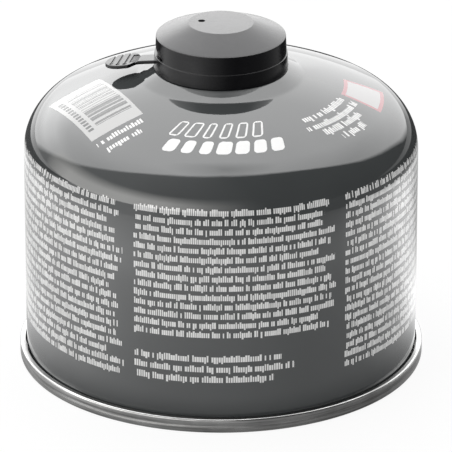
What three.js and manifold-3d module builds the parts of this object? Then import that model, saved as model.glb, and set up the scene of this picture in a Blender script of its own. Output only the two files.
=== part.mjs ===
// Screw-thread gas canister, 110 mm across, with its pull-off cap and tear tab.
// Millimetres, +Z up. The origin is the centre of the seam ring's resting face.
// The front of the canister faces -Y and the cap's tab points towards -X.
import * as THREE from 'three';
import { mergeVertices } from 'three/addons/utils/BufferGeometryUtils.js';
import Module from 'manifold-3d';

const wasm = await Module();
wasm.setup();

// Can: straight wall, rounded shoulder and shallow dome
const BODY_R = 53.2;
const WALL_TOP_Z = 59.5;
const SHOULDER_R = 15.2;
const DOME_R = 104.5;

// Double seam and inward-domed base
const SEAM_PROUD = 1.8;
const SEAM_HEIGHT = 4.0;
const SEAM_ROUND = 0.7;
const SEAM_FOOT_WIDTH = 2.0;
const END_SHEET = 0.4;
const FOLD_WIDTH = 0.9;
const FOLD_DEPTH = 2.6;
const CHUCK_DRAFT = 0.4;
const CHUCK_HEIGHT = 4.4;
const BASE_RISE = 7.0;

// Neck curl that carries the valve
const CURL_CENTRE_R = 13.8;
const CURL_SECTION_R = 1.3;
const NECK_RISE = 2.2;
const NECK_WAIST = 0.8;
const GASKET_THICK = 0.5;
const GASKET_GAP = 0.15;
const GASKET_EDGE_ANGLE = 10;

// Valve cup: bead, well and threaded boss
const CUP_SHEET = 0.4;
const CRIMP_BULGE = 1.6;
const CRIMP_DROP = 3.2;
const WELL_DEPTH = 8.0;
const WELL_FILLET = 0.9;
const THREAD_R = 5.55;
const BOSS_ABOVE_BEAD = 4.0;
const BOSS_WALL = 0.8;
const BOSS_LIP = 0.5;
const BOSS_CHAMFER = 0.5;
const BOSS_HOLE_R = 2.2;

// Valve inside the boss
const SEAL_THICK = 1.0;
const SEAL_HOLE_R = 1.7;
const HOUSING_BORE_R = 3.4;
const HOUSING_BODY_LENGTH = 13.0;
const HOUSING_BORE_DEPTH = 11.8;
const HOUSING_TAIL_R = 2.6;
const HOUSING_TAIL_LENGTH = 3.6;
const HOUSING_INLET_R = 0.9;
const STEM_R = 1.4;
const STEM_RECESS = 0.7;
const COLLAR_R = 3.0;
const COLLAR_LENGTH = 2.0;
const GUIDE_R = 1.2;
const GUIDE_LENGTH = 3.4;
const SPRING_R = 2.2;
const SPRING_WIRE_R = 0.32;
const SPRING_TURNS = 5;

// Cap: tear ring below, band, cone and flat top
const CAP_LIFT = 1.2;
const CAP_ROOM = 0.45;
const CAP_SKIRT_TAPER = 0.25;
const CAP_SKIRT_HEIGHT = 4.2;
const CAP_LEDGE = 0.25;
const CAP_BAND_TAPER = 0.2;
const CAP_BAND_HEIGHT = 4.9;
const CAP_HEADROOM = 3.34;
const CAP_TOP_R = 8.75;
const CAP_WALL = 1.1;
const SNAP_LIP_HEIGHT = 1.0;
const SNAP_GAP = 0.22;
const VENT_R = 0.95;
const VENT_OUT = 5.3;
const VENT_AZIMUTH = 12;
const TEAR_SLOT_HEIGHT = 0.8;
const TEAR_SLOT_HALF_ANGLE = 28;

// Tear tab
const TAB_AZIMUTH = 8;
const TAB_BELOW_LEDGE = 1.4;
const TAB_REACH = 32.0;
const TAB_THICK = 1.0;
const TAB_NECK_HALF = 4.6;
const TAB_PADDLE_LENGTH = 9.9;
const TAB_FLARE = 2.6;
const TAB_PADDLE_HALF = 5.7;
const TAB_TIP_LENGTH = 4.8;
const TAB_NECK_FALL = 0.12;
const TAB_PADDLE_FALL = 0.235;
const GRIP_GROOVES = 3;
const GRIP_PITCH = 1.85;
const GRIP_FIRST = 2.5;
const GRIP_WIDTH = 0.6;
const GRIP_DEPTH = 0.35;
const GRIP_MARGIN = 1.3;

// Running and assembly clearances
const SEAT_GAP = 0.3;
const SLIDE_GAP = 0.2;

// Facets round each turned piece
const CAN_FACETS = 60;
const CUP_FACETS = 40;
const SMALL_FACETS = 24;

// Steps along each arc of the turned profiles
const SHOULDER_STEPS = 8;
const DOME_STEPS = 6;
const BASE_STEPS = 5;
const SEAM_STEPS = 3;
const CURL_STEPS = 6;
const BEAD_STEPS = 8;
const GASKET_STEPS = 5;

// Levels and radii worked out from the driving sizes
const DOME_CENTRE_Z = WALL_TOP_Z
  - Math.sqrt((DOME_R - SHOULDER_R) ** 2 - (BODY_R - SHOULDER_R) ** 2);
const SEAM_R = BODY_R + SEAM_PROUD;
const FOLD_OUTER_R = BODY_R + SEAT_GAP;
const FOLD_INNER_R = BODY_R - FOLD_WIDTH - SEAT_GAP;
const FOLD_FLOOR_Z = SEAM_HEIGHT - FOLD_DEPTH;
const CHUCK_R = FOLD_INNER_R - END_SHEET;
const CURL_Z = domeHeight(CURL_CENTRE_R) + NECK_RISE;
const CURL_INNER_R = CURL_CENTRE_R - CURL_SECTION_R;
const BEAD_INNER = CURL_SECTION_R + GASKET_THICK + 2 * GASKET_GAP;
const BEAD_OUTER = BEAD_INNER + CUP_SHEET;
const BEAD_R = CURL_CENTRE_R + BEAD_OUTER;
const BEAD_TOP_Z = CURL_Z + BEAD_OUTER;
const WELL_R = CURL_CENTRE_R - BEAD_OUTER;
const WELL_FLOOR_Z = BEAD_TOP_Z - WELL_DEPTH;
const CRIMP_OUTER_R = WELL_R + CUP_SHEET + CRIMP_BULGE;
const BOSS_TOP_Z = BEAD_TOP_Z + BOSS_ABOVE_BEAD;
const BOSS_BORE_R = THREAD_R - BOSS_WALL;
const SEAL_TOP_Z = BOSS_TOP_Z - BOSS_LIP;
const HOUSING_TOP_Z = SEAL_TOP_Z - SEAL_THICK;
const HOUSING_R = BOSS_BORE_R - SEAT_GAP;
const HOUSING_STEP_Z = HOUSING_TOP_Z - HOUSING_BODY_LENGTH;
const HOUSING_END_Z = HOUSING_STEP_Z - HOUSING_TAIL_LENGTH;
const HOUSING_BORE_FLOOR_Z = HOUSING_TOP_Z - HOUSING_BORE_DEPTH;
const COLLAR_TOP_Z = HOUSING_TOP_Z - SLIDE_GAP;
const COLLAR_BOTTOM_Z = COLLAR_TOP_Z - COLLAR_LENGTH;
const CAP_LEDGE_R = BEAD_R + CAP_ROOM + CAP_WALL;
const CAP_SKIRT_R = CAP_LEDGE_R + CAP_SKIRT_TAPER;
const CAP_BAND_R = CAP_LEDGE_R - CAP_LEDGE;
const CAP_SHOULDER_R = CAP_BAND_R - CAP_BAND_TAPER;
const CAP_BOTTOM_Z = domeHeight(CAP_SKIRT_R) + CAP_LIFT;
const CAP_LEDGE_Z = CAP_BOTTOM_Z + CAP_SKIRT_HEIGHT;
const CAP_BAND_TOP_Z = CAP_LEDGE_Z + CAP_BAND_HEIGHT;
const CAP_TOP_Z = BOSS_TOP_Z + CAP_HEADROOM + CAP_WALL;
const TAB_NECK_END = TAB_REACH - TAB_PADDLE_LENGTH;

/** Height of the dome's outer surface at a distance from the axis. */
function domeHeight(radius) {
  return DOME_CENTRE_Z + Math.sqrt(DOME_R ** 2 - radius ** 2);
}

/** Points of an arc in the profile plane, angles in degrees, both ends included. */
function arc(centreR, centreZ, radius, from, to, steps) {
  return Array.from({ length: steps + 1 }, (_, i) => {
    const angle = THREE.MathUtils.degToRad(from + (to - from) * i / steps);
    return [centreR + radius * Math.cos(angle), centreZ + radius * Math.sin(angle)];
  });
}

/** A copy that shares its corners and holds no zero-area triangle. */
function weld(geometry) {
  const bare = geometry.clone();
  bare.deleteAttribute('normal');
  bare.deleteAttribute('uv');
  const merged = mergeVertices(bare, 1e-4);
  const corners = merged.index.array;
  const kept = [];
  for (let i = 0; i < corners.length; i += 3) {
    const [a, b, c] = corners.slice(i, i + 3);
    if (a !== b && b !== c && c !== a) {
      kept.push(a, b, c);
    }
  }
  merged.setIndex(kept);
  merged.computeVertexNormals();
  return merged;
}

/** A solid turned about Z from a profile of [radius, height] points. */
function turn(profile, facets) {
  const points = profile.map(([radius, height]) => new THREE.Vector2(radius, height));
  const lathe = new THREE.LatheGeometry(points, facets);
  lathe.rotateX(Math.PI / 2);
  return weld(lathe);
}

/** A ring turned from a profile that closes on itself. */
function turnRing(profile, facets) {
  return turn([...profile, profile[0]], facets);
}

/** A geometry as a solid that can be joined and cut. */
function toSolid(geometry) {
  const welded = weld(geometry);
  return new wasm.Manifold(new wasm.Mesh({
    numProp: 3,
    vertProperties: new Float32Array(welded.attributes.position.array),
    triVerts: new Uint32Array(welded.index.array),
  }));
}

/** A joined or cut solid as a geometry. */
function toGeometry(solid) {
  const mesh = solid.getMesh();
  const geometry = new THREE.BufferGeometry();
  geometry.setAttribute('position', new THREE.BufferAttribute(mesh.vertProperties, 3));
  geometry.setIndex(new THREE.BufferAttribute(mesh.triVerts, 1));
  geometry.computeVertexNormals();
  return geometry;
}

/** The filled can: wall, shoulder, dome, neck curl and the pocket for the valve. */
function canBody() {
  const baseClear = END_SHEET + SEAT_GAP;
  const panelR = CHUCK_R - CHUCK_DRAFT;
  const panelZ = CHUCK_HEIGHT;
  const dome = baseDome(panelR, panelZ + baseClear, BASE_RISE);
  const shoulderAngle = THREE.MathUtils.radToDeg(Math.acos((BODY_R - SHOULDER_R)
    / (DOME_R - SHOULDER_R)));
  const waistR = CURL_CENTRE_R + NECK_WAIST;
  const neckFootR = waistR + NECK_WAIST;
  const neckFootAngle = THREE.MathUtils.radToDeg(Math.acos(neckFootR / DOME_R));
  const waistAngle = -THREE.MathUtils.radToDeg(Math.acos(NECK_WAIST / CURL_SECTION_R));
  const pocketR = CRIMP_OUTER_R + SEAT_GAP;
  const pocketTopZ = CURL_Z - CURL_SECTION_R;
  const pocketFloorZ = WELL_FLOOR_Z - CUP_SHEET - SEAT_GAP;
  const tailClearR = HOUSING_R + SEAT_GAP;
  const profile = [
    ...dome,
    [FOLD_INNER_R + SEAT_GAP, panelZ],
    [FOLD_INNER_R + SEAT_GAP, FOLD_FLOOR_Z + SEAT_GAP],
    [BODY_R, FOLD_FLOOR_Z + SEAT_GAP],
    ...arc(BODY_R - SHOULDER_R, WALL_TOP_Z, SHOULDER_R, 0, shoulderAngle, SHOULDER_STEPS),
    ...arc(0, DOME_CENTRE_Z, DOME_R, shoulderAngle, neckFootAngle, DOME_STEPS).slice(1),
    [waistR, pocketTopZ],
    ...arc(CURL_CENTRE_R, CURL_Z, CURL_SECTION_R, waistAngle, 180, CURL_STEPS),
    [CURL_INNER_R, pocketTopZ],
    [pocketR, pocketTopZ - (pocketR - CURL_INNER_R)],
    [pocketR, pocketFloorZ],
    [tailClearR, pocketFloorZ],
    [tailClearR, HOUSING_STEP_Z - SEAT_GAP],
    [HOUSING_TAIL_R + SEAT_GAP, HOUSING_STEP_Z - SEAT_GAP],
    [HOUSING_TAIL_R + SEAT_GAP, HOUSING_END_Z - SEAT_GAP],
    [0, HOUSING_END_Z - SEAT_GAP],
  ];
  return turn(profile, CAN_FACETS);
}

/** Profile of an inward dome from the axis out to an edge, as a circular arc. */
function baseDome(edgeR, edgeZ, rise) {
  const radius = (edgeR ** 2 + rise ** 2) / (2 * rise);
  const half = THREE.MathUtils.radToDeg(Math.asin(edgeR / radius));
  return arc(0, edgeZ + rise - radius, radius, 90, 90 - half, BASE_STEPS);
}

/** Base sheet: inward dome, chuck wall and the double seam that the can stands on. */
function baseEnd() {
  const panelR = CHUCK_R - CHUCK_DRAFT;
  const foot = SEAM_R - SEAM_ROUND - SEAM_FOOT_WIDTH;
  const lower = baseDome(panelR, CHUCK_HEIGHT, BASE_RISE);
  const upper = baseDome(panelR, CHUCK_HEIGHT + END_SHEET, BASE_RISE).reverse();
  return turn([
    ...lower,
    [CHUCK_R, SEAM_ROUND],
    [foot, 0],
    ...arc(SEAM_R - SEAM_ROUND, SEAM_ROUND, SEAM_ROUND, -90, 0, SEAM_STEPS),
    ...arc(SEAM_R - SEAM_ROUND, SEAM_HEIGHT - SEAM_ROUND, SEAM_ROUND, 0, 90, SEAM_STEPS),
    [FOLD_OUTER_R, SEAM_HEIGHT],
    [FOLD_OUTER_R, FOLD_FLOOR_Z],
    [FOLD_INNER_R, FOLD_FLOOR_Z],
    [FOLD_INNER_R, CHUCK_HEIGHT],
    ...upper,
  ], CAN_FACETS);
}

/** Drawn valve cup: bead over the curl, crimped well and the hollow threaded boss. */
function valveCup() {
  const crimpZ = CURL_Z - CRIMP_DROP;
  const wallTopZ = CURL_Z - CURL_SECTION_R + SLIDE_GAP;
  const crimpR = CRIMP_OUTER_R - CUP_SHEET;
  const crimpHalf = CUP_SHEET;
  const skirtAngle = -35;
  const floorUnderZ = WELL_FLOOR_Z - CUP_SHEET;
  return turnRing([
    [BOSS_BORE_R, floorUnderZ],
    [WELL_R, floorUnderZ],
    [CRIMP_OUTER_R, crimpZ - crimpHalf],
    [CRIMP_OUTER_R, crimpZ + crimpHalf],
    [WELL_R + CUP_SHEET, wallTopZ],
    ...arc(CURL_CENTRE_R, CURL_Z, BEAD_INNER, 180, skirtAngle, BEAD_STEPS),
    ...arc(CURL_CENTRE_R, CURL_Z, BEAD_OUTER, skirtAngle, 180, BEAD_STEPS),
    [WELL_R, wallTopZ],
    [crimpR, crimpZ + crimpHalf],
    [crimpR, crimpZ - crimpHalf],
    [WELL_R, WELL_FLOOR_Z + CUP_SHEET],
    [WELL_R - WELL_FILLET, WELL_FLOOR_Z],
    [THREAD_R + WELL_FILLET, WELL_FLOOR_Z],
    [THREAD_R, WELL_FLOOR_Z + WELL_FILLET],
    [THREAD_R, BOSS_TOP_Z - BOSS_CHAMFER],
    [THREAD_R - BOSS_CHAMFER, BOSS_TOP_Z],
    [BOSS_HOLE_R, BOSS_TOP_Z],
    [BOSS_HOLE_R, SEAL_TOP_Z],
    [BOSS_BORE_R, SEAL_TOP_Z],
  ], CUP_FACETS);
}

/** Rubber gasket that the bead squeezes onto the curl. */
function cupGasket() {
  const inner = CURL_SECTION_R + GASKET_GAP;
  const far = 180 - GASKET_EDGE_ANGLE;
  return turnRing([
    ...arc(CURL_CENTRE_R, CURL_Z, inner + GASKET_THICK, GASKET_EDGE_ANGLE, far, GASKET_STEPS),
    ...arc(CURL_CENTRE_R, CURL_Z, inner, far, GASKET_EDGE_ANGLE, GASKET_STEPS),
  ], CUP_FACETS);
}

/** Flat rubber seal under the boss's lip. */
function valveSeal() {
  return turnRing([
    [SEAL_HOLE_R, HOUSING_TOP_Z],
    [HOUSING_R, HOUSING_TOP_Z],
    [HOUSING_R, SEAL_TOP_Z],
    [SEAL_HOLE_R, SEAL_TOP_Z],
  ], SMALL_FACETS);
}

/** Moulded valve housing with its spring bore and inlet tail. */
function valveHousing() {
  return turnRing([
    [HOUSING_INLET_R, HOUSING_END_Z],
    [HOUSING_TAIL_R, HOUSING_END_Z],
    [HOUSING_TAIL_R, HOUSING_STEP_Z],
    [HOUSING_R, HOUSING_STEP_Z],
    [HOUSING_R, HOUSING_TOP_Z],
    [HOUSING_BORE_R, HOUSING_TOP_Z],
    [HOUSING_BORE_R, HOUSING_BORE_FLOOR_Z],
    [HOUSING_INLET_R, HOUSING_BORE_FLOOR_Z],
  ], SMALL_FACETS);
}

/** Stem that the stove's pin presses: recessed head, sealing collar and spring guide. */
function valveStem() {
  return turn([
    [0, COLLAR_BOTTOM_Z - GUIDE_LENGTH],
    [GUIDE_R, COLLAR_BOTTOM_Z - GUIDE_LENGTH],
    [GUIDE_R, COLLAR_BOTTOM_Z],
    [COLLAR_R, COLLAR_BOTTOM_Z],
    [COLLAR_R, COLLAR_TOP_Z],
    [STEM_R, COLLAR_TOP_Z],
    [STEM_R, BOSS_TOP_Z - STEM_RECESS],
    [0, BOSS_TOP_Z - STEM_RECESS],
  ], SMALL_FACETS);
}

/** Helix that the return spring's wire follows. */
class SpringPath extends THREE.Curve {
  constructor(radius, from, to, turns) {
    super();
    this.radius = radius;
    this.from = from;
    this.to = to;
    this.turns = turns;
  }

  getPoint(t, target = new THREE.Vector3()) {
    const angle = t * this.turns * 2 * Math.PI;
    return target.set(
      this.radius * Math.cos(angle),
      this.radius * Math.sin(angle),
      this.from + (this.to - this.from) * t,
    );
  }
}

/** Return spring between the housing's floor and the stem's collar. */
function valveSpring() {
  const endClear = SPRING_WIRE_R + SLIDE_GAP;
  const path = new SpringPath(
    SPRING_R,
    HOUSING_BORE_FLOOR_Z + endClear,
    COLLAR_BOTTOM_Z - endClear,
    SPRING_TURNS,
  );
  const section = new THREE.Shape();
  section.absarc(0, 0, SPRING_WIRE_R, 0, 2 * Math.PI);
  const stepsPerTurn = 14;
  return weld(new THREE.ExtrudeGeometry(section, {
    steps: SPRING_TURNS * stepsPerTurn,
    curveSegments: 3,
    extrudePath: path,
  }));
}

/** Cap shell: tear ring, band, cone and flat top over an open inside. */
function capShell() {
  const innerSkirtR = CAP_LEDGE_R - CAP_WALL;
  const innerBandR = CAP_SHOULDER_R - CAP_WALL;
  const lipR = BEAD_R + SNAP_GAP;
  const coneAngle = Math.atan2(CAP_TOP_Z - CAP_BAND_TOP_Z, CAP_SHOULDER_R - CAP_TOP_R);
  const ceilingZ = CAP_TOP_Z - CAP_WALL;
  const coneDrop = CAP_WALL / Math.cos(coneAngle);
  const innerConeZ = CAP_BAND_TOP_Z + CAP_WALL * Math.tan(coneAngle) - coneDrop;
  const innerTopR = CAP_TOP_R - (coneDrop - CAP_WALL) / Math.tan(coneAngle);
  return turn([
    [0, ceilingZ],
    [innerTopR, ceilingZ],
    [innerBandR, innerConeZ],
    [innerBandR, CAP_LEDGE_Z + CAP_WALL],
    [innerSkirtR, CAP_LEDGE_Z],
    [innerSkirtR, CAP_BOTTOM_Z + 2 * SNAP_LIP_HEIGHT],
    [lipR, CAP_BOTTOM_Z + SNAP_LIP_HEIGHT],
    [innerSkirtR, CAP_BOTTOM_Z],
    [CAP_SKIRT_R, CAP_BOTTOM_Z],
    [CAP_LEDGE_R, CAP_LEDGE_Z],
    [CAP_BAND_R, CAP_LEDGE_Z],
    [CAP_SHOULDER_R, CAP_BAND_TOP_Z],
    [CAP_TOP_R, CAP_TOP_Z],
    [0, CAP_TOP_Z],
  ], CAN_FACETS);
}

/** Tab's plan outline: straight neck, flared paddle and elliptical tip. */
function tabPlan() {
  const tipStart = TAB_REACH - TAB_TIP_LENGTH;
  const flareMid = TAB_NECK_END + TAB_FLARE / 2;
  const rootR = CAP_LEDGE_R - CAP_WALL / 2;
  const plan = new THREE.Shape();
  plan.moveTo(rootR, -TAB_NECK_HALF);
  plan.lineTo(TAB_NECK_END, -TAB_NECK_HALF);
  plan.bezierCurveTo(flareMid, -TAB_NECK_HALF, flareMid, -TAB_PADDLE_HALF,
    TAB_NECK_END + TAB_FLARE, -TAB_PADDLE_HALF);
  plan.absellipse(tipStart, 0, TAB_TIP_LENGTH, TAB_PADDLE_HALF, -Math.PI / 2, Math.PI / 2);
  plan.lineTo(TAB_NECK_END + TAB_FLARE, TAB_PADDLE_HALF);
  plan.bezierCurveTo(flareMid, TAB_PADDLE_HALF, flareMid, TAB_NECK_HALF,
    TAB_NECK_END, TAB_NECK_HALF);
  plan.lineTo(rootR, TAB_NECK_HALF);
  plan.closePath();
  return plan;
}

/** Height of the tab's top face at a distance from the axis. */
function tabTop(out) {
  const neck = Math.min(out, TAB_NECK_END) - CAP_LEDGE_R;
  const paddle = Math.max(out - TAB_NECK_END, 0);
  return CAP_LEDGE_Z - TAB_BELOW_LEDGE - TAB_NECK_FALL * neck - TAB_PADDLE_FALL * paddle;
}

/** Tear tab along +X: plan outline cut to its falling side profile, with grip grooves. */
function tearTab() {
  const widest = 2 * (TAB_PADDLE_HALF + TAB_THICK);
  const depth = TAB_PADDLE_FALL * TAB_REACH + 2 * TAB_THICK;
  const floorZ = tabTop(TAB_REACH) - depth;
  const outline = new THREE.ExtrudeGeometry(tabPlan(), {
    depth: CAP_LEDGE_Z - floorZ,
    bevelEnabled: false,
    curveSegments: 8,
  });
  outline.translate(0, 0, floorZ);

  const stations = [CAP_LEDGE_R - CAP_WALL, TAB_NECK_END, TAB_REACH + TAB_THICK];
  const top = stations.map((out) => new THREE.Vector2(out, tabTop(out)));
  const under = stations.map((out) => new THREE.Vector2(out, tabTop(out) - TAB_THICK));
  const side = new THREE.ExtrudeGeometry(new THREE.Shape([...under, ...top.reverse()]), {
    depth: widest,
    bevelEnabled: false,
  });
  side.translate(0, 0, -widest / 2);
  side.rotateX(Math.PI / 2);

  let tab = toSolid(outline).intersect(toSolid(side));
  for (let i = 0; i < GRIP_GROOVES; i += 1) {
    const out = TAB_REACH - GRIP_FIRST - i * GRIP_PITCH;
    const halfWidth = TAB_PADDLE_HALF - GRIP_MARGIN;
    const groove = new THREE.BoxGeometry(GRIP_WIDTH, 2 * halfWidth, 2 * GRIP_DEPTH);
    groove.rotateY(Math.atan(TAB_PADDLE_FALL));
    groove.translate(out, 0, tabTop(out));
    tab = tab.subtract(toSolid(groove));
  }
  return tab;
}

/** Curved cutter for the open slot between the tear ring and the band. */
function tearSlot() {
  const inner = CAP_SHOULDER_R - 2 * CAP_WALL;
  const outer = CAP_SKIRT_R + CAP_WALL;
  const half = THREE.MathUtils.degToRad(TEAR_SLOT_HALF_ANGLE);
  const sector = new THREE.Shape();
  sector.absarc(0, 0, outer, -half, half);
  sector.absarc(0, 0, inner, half, -half, true);
  sector.closePath();
  const cutter = new THREE.ExtrudeGeometry(sector, {
    depth: TEAR_SLOT_HEIGHT,
    bevelEnabled: false,
    curveSegments: 12,
  });
  cutter.translate(0, 0, CAP_LEDGE_Z);
  return cutter;
}

/** One moulding: cap shell, tear tab, tear slot and vent hole. */
function cap() {
  const tabAngle = THREE.MathUtils.degToRad(180 - TAB_AZIMUTH);
  const tab = toGeometry(tearTab());
  tab.rotateZ(tabAngle);
  const slot = tearSlot();
  slot.rotateZ(tabAngle);
  const ventAngle = THREE.MathUtils.degToRad(180 - VENT_AZIMUTH);
  const vent = new THREE.CylinderGeometry(VENT_R, VENT_R, 4 * CAP_WALL, 16);
  vent.rotateX(Math.PI / 2);
  vent.translate(VENT_OUT * Math.cos(ventAngle), VENT_OUT * Math.sin(ventAngle), CAP_TOP_Z);
  return toGeometry(toSolid(capShell())
    .subtract(toSolid(slot))
    .add(toSolid(tab))
    .subtract(toSolid(vent)));
}

/** A named piece with its own material. */
function piece(name, geometry, color, roughness, metalness) {
  const material = new THREE.MeshStandardMaterial({ color, roughness, metalness });
  const mesh = new THREE.Mesh(geometry, material);
  mesh.name = name;
  return mesh;
}

const canister = new THREE.Group();
canister.name = 'gas_canister';

const can = new THREE.Group();
can.add(
  piece('can_body', canBody(), 0x7d8282, 0.25, 0.3),
  piece('base_end', baseEnd(), 0xb4b8b9, 0.3, 1.0),
  piece('valve_cup', valveCup(), 0xc2c4c3, 0.28, 1.0),
  piece('cup_gasket', cupGasket(), 0x2c2c2e, 0.8, 0.0),
  piece('valve_seal', valveSeal(), 0x1c1c1e, 0.8, 0.0),
  piece('valve_housing', valveHousing(), 0xe4e2da, 0.5, 0.0),
  piece('valve_spring', valveSpring(), 0xb8bab9, 0.3, 1.0),
  piece('valve_stem', valveStem(), 0xd9c9a0, 0.45, 0.0),
);
canister.add(can);
canister.add(piece('cap', cap(), 0x1b1c1f, 0.4, 0.0));

export default canister;
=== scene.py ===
"""Looks of a squat screw-valve gas canister with its black pull-off cap.

Every visible piece is a surface worked out on a grid: a profile turned about the
canister's axis, a tab lofted along its outline or a wire carried along a helix.
Profile sizes are in millimetres, and meshes are written in metres.
The front of the canister faces -Y, and azimuths grow from there towards +X.
"""
import logging
import math
from collections.abc import Callable
from dataclasses import dataclass, field
from enum import Enum

import bpy
import numpy as np
from mathutils import Matrix, Vector


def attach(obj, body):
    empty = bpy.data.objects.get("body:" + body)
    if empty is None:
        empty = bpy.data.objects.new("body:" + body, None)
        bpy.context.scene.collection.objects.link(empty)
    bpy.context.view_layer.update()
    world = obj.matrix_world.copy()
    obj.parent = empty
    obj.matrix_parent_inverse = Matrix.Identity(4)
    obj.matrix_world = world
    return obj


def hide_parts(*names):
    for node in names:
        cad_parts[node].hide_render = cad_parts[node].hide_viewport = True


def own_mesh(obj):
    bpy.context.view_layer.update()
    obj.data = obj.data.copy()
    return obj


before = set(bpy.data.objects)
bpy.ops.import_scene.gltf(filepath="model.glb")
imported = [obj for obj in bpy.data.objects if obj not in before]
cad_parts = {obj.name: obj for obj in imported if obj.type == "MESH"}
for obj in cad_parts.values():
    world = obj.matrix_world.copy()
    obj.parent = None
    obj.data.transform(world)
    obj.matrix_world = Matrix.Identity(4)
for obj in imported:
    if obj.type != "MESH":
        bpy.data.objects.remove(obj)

log = logging.getLogger("canister")

MM = 0.001               # metres in a millimetre
IMAGE_SIDE = 452         # pixels on a side of the square picture
CUT_CREASE = 30.0        # degrees of bend past which a cut moulding's edges stay sharp
WHITE = (1.0, 1.0, 1.0)

Array = np.ndarray
Socket = bpy.types.NodeSocket
Number = float | Socket
Pair = tuple[float, float]
Point = tuple[float, float, float]
Colour = tuple[float, float, float]
Grain = tuple[float, float, float]      # cells in a metre, finer octaves, their strength
Stops = tuple[Pair, ...]
Shaping = Callable[[Array, Array, Array], Array]


class Body(Enum):
    """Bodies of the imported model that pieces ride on."""

    CAN = "can"
    CAP = "cap"
    STEM = "stem"


class Slot(Enum):
    """Material slots of the record."""

    PAINT = "painted_can"
    TINPLATE = "tinplate"
    BLACK = "black_plastic"
    RUBBER = "seal_rubber"
    ACETAL = "natural_plastic"
    SPRING = "spring_steel"


# Profiles

def arc(centre: Pair, radius: float, start: float, end: float, steps: int) -> Array:
    """Points of a circular arc in the profile plane.

    Args:
        centre: radius and height of the arc's centre, in mm.
        radius: the arc's radius, in mm.
        start: first angle in degrees, from the outward direction towards up.
        end: last angle in degrees.
        steps: number of chords.

    Returns:
        Rows of [radius, height], both ends included.
    """
    angle = np.radians(np.linspace(start, end, steps + 1))
    return np.array(centre) + radius * np.stack([np.cos(angle), np.sin(angle)], axis=1)


def line(start: Pair, end: Pair, steps: int) -> Array:
    """Evenly spaced points of a straight stretch, both ends included."""
    share = np.linspace(0.0, 1.0, steps + 1)[:, None]
    return np.array(start) * (1.0 - share) + np.array(end) * share


def rounded(corners: list[Point], steps: int = 5) -> Array:
    """A broken line whose corners are rounded by arcs.

    Each corner's arc touches both of its edges at the distance radius / tan(half the
    angle between them), and its centre lies on their bisector.

    Args:
        corners: [radius, height, rounding] of each corner, in mm; 0 keeps it sharp.
        steps: number of chords of each rounding.

    Returns:
        Rows of [radius, height].
    """
    points = []
    places = np.array([corner[:2] for corner in corners])
    for index, (_, _, radius) in enumerate(corners):
        here = places[index]
        if radius <= 0.0 or index in (0, len(corners) - 1):
            points.append(here[None])
            continue
        back = places[index - 1] - here
        ahead = places[index + 1] - here
        back /= np.linalg.norm(back)
        ahead /= np.linalg.norm(ahead)
        half = 0.5 * math.acos(float(np.clip(back @ ahead, -1.0, 1.0)))
        reach = radius / math.tan(half)
        bisector = (back + ahead) / np.linalg.norm(back + ahead)
        centre = here + bisector * radius / math.sin(half)
        first = here + back * reach - centre
        last = here + ahead * reach - centre
        start = math.atan2(first[1], first[0])
        turn = (math.atan2(last[1], last[0]) - start + math.pi) % (2 * math.pi) - math.pi
        angle = start + turn * np.linspace(0.0, 1.0, steps + 1)
        points.append(centre + radius * np.stack([np.cos(angle), np.sin(angle)], axis=1))
    return np.concatenate(points)


def joined(*stretches: Array) -> Array:
    """Stretches of a profile end to end, with repeated points dropped."""
    points = np.concatenate(stretches)
    step = np.linalg.norm(np.diff(points, axis=0), axis=1)
    return points[np.concatenate([[True], step > 1e-5])]


# Meshes

def placed(name: str, data: bpy.types.ID) -> bpy.types.Object:
    """A new object that holds the data, linked to the scene, at the origin."""
    thing = bpy.data.objects.new(name, data)
    bpy.context.scene.collection.objects.link(thing)
    return thing


def smoothed(mesh: bpy.types.Mesh, crease: float) -> None:
    """Shades a mesh smooth, but for edges that bend by more degrees than the crease."""
    mesh.shade_smooth()
    mesh.set_sharp_from_angle(angle=math.radians(crease))


def solid(name: str, points: Array, faces: list, crease: float = 40.0) -> bpy.types.Object:
    """A smooth-shaded object whose mesh holds the points.

    Args:
        name: the piece's name.
        points: vertices in mm.
        faces: vertex numbers of each face, anticlockwise from outside.
        crease: edges that bend by more degrees than this stay sharp.

    Returns:
        The object, linked to the scene, at the origin.
    """
    mesh = bpy.data.meshes.new(name)
    mesh.from_pydata((points * MM).tolist(), [], faces)
    mesh.update()
    smoothed(mesh, crease)
    return placed(name, mesh)


def grid_faces(rows: int, columns: int, close_rows: bool, close_columns: bool) -> Array:
    """Quads between neighbouring rows and columns of a grid of points.

    Args:
        rows: number of rows of the grid.
        columns: number of points in a row.
        close_rows: whether the last row joins the first.
        close_columns: whether the last column joins the first.

    Returns:
        Four vertex numbers a face, anticlockwise where rows go up and columns go right.
    """
    i = np.arange(rows if close_rows else rows - 1)[:, None]
    j = np.arange(columns if close_columns else columns - 1)[None, :]
    up = (i + 1) % rows
    right = (j + 1) % columns
    corners = [i * columns + j, i * columns + right, up * columns + right, up * columns + j]
    quads = [np.broadcast_to(corner, (i.size, j.size)) for corner in corners]
    return np.stack(quads, axis=-1).reshape(-1, 4)


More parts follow.
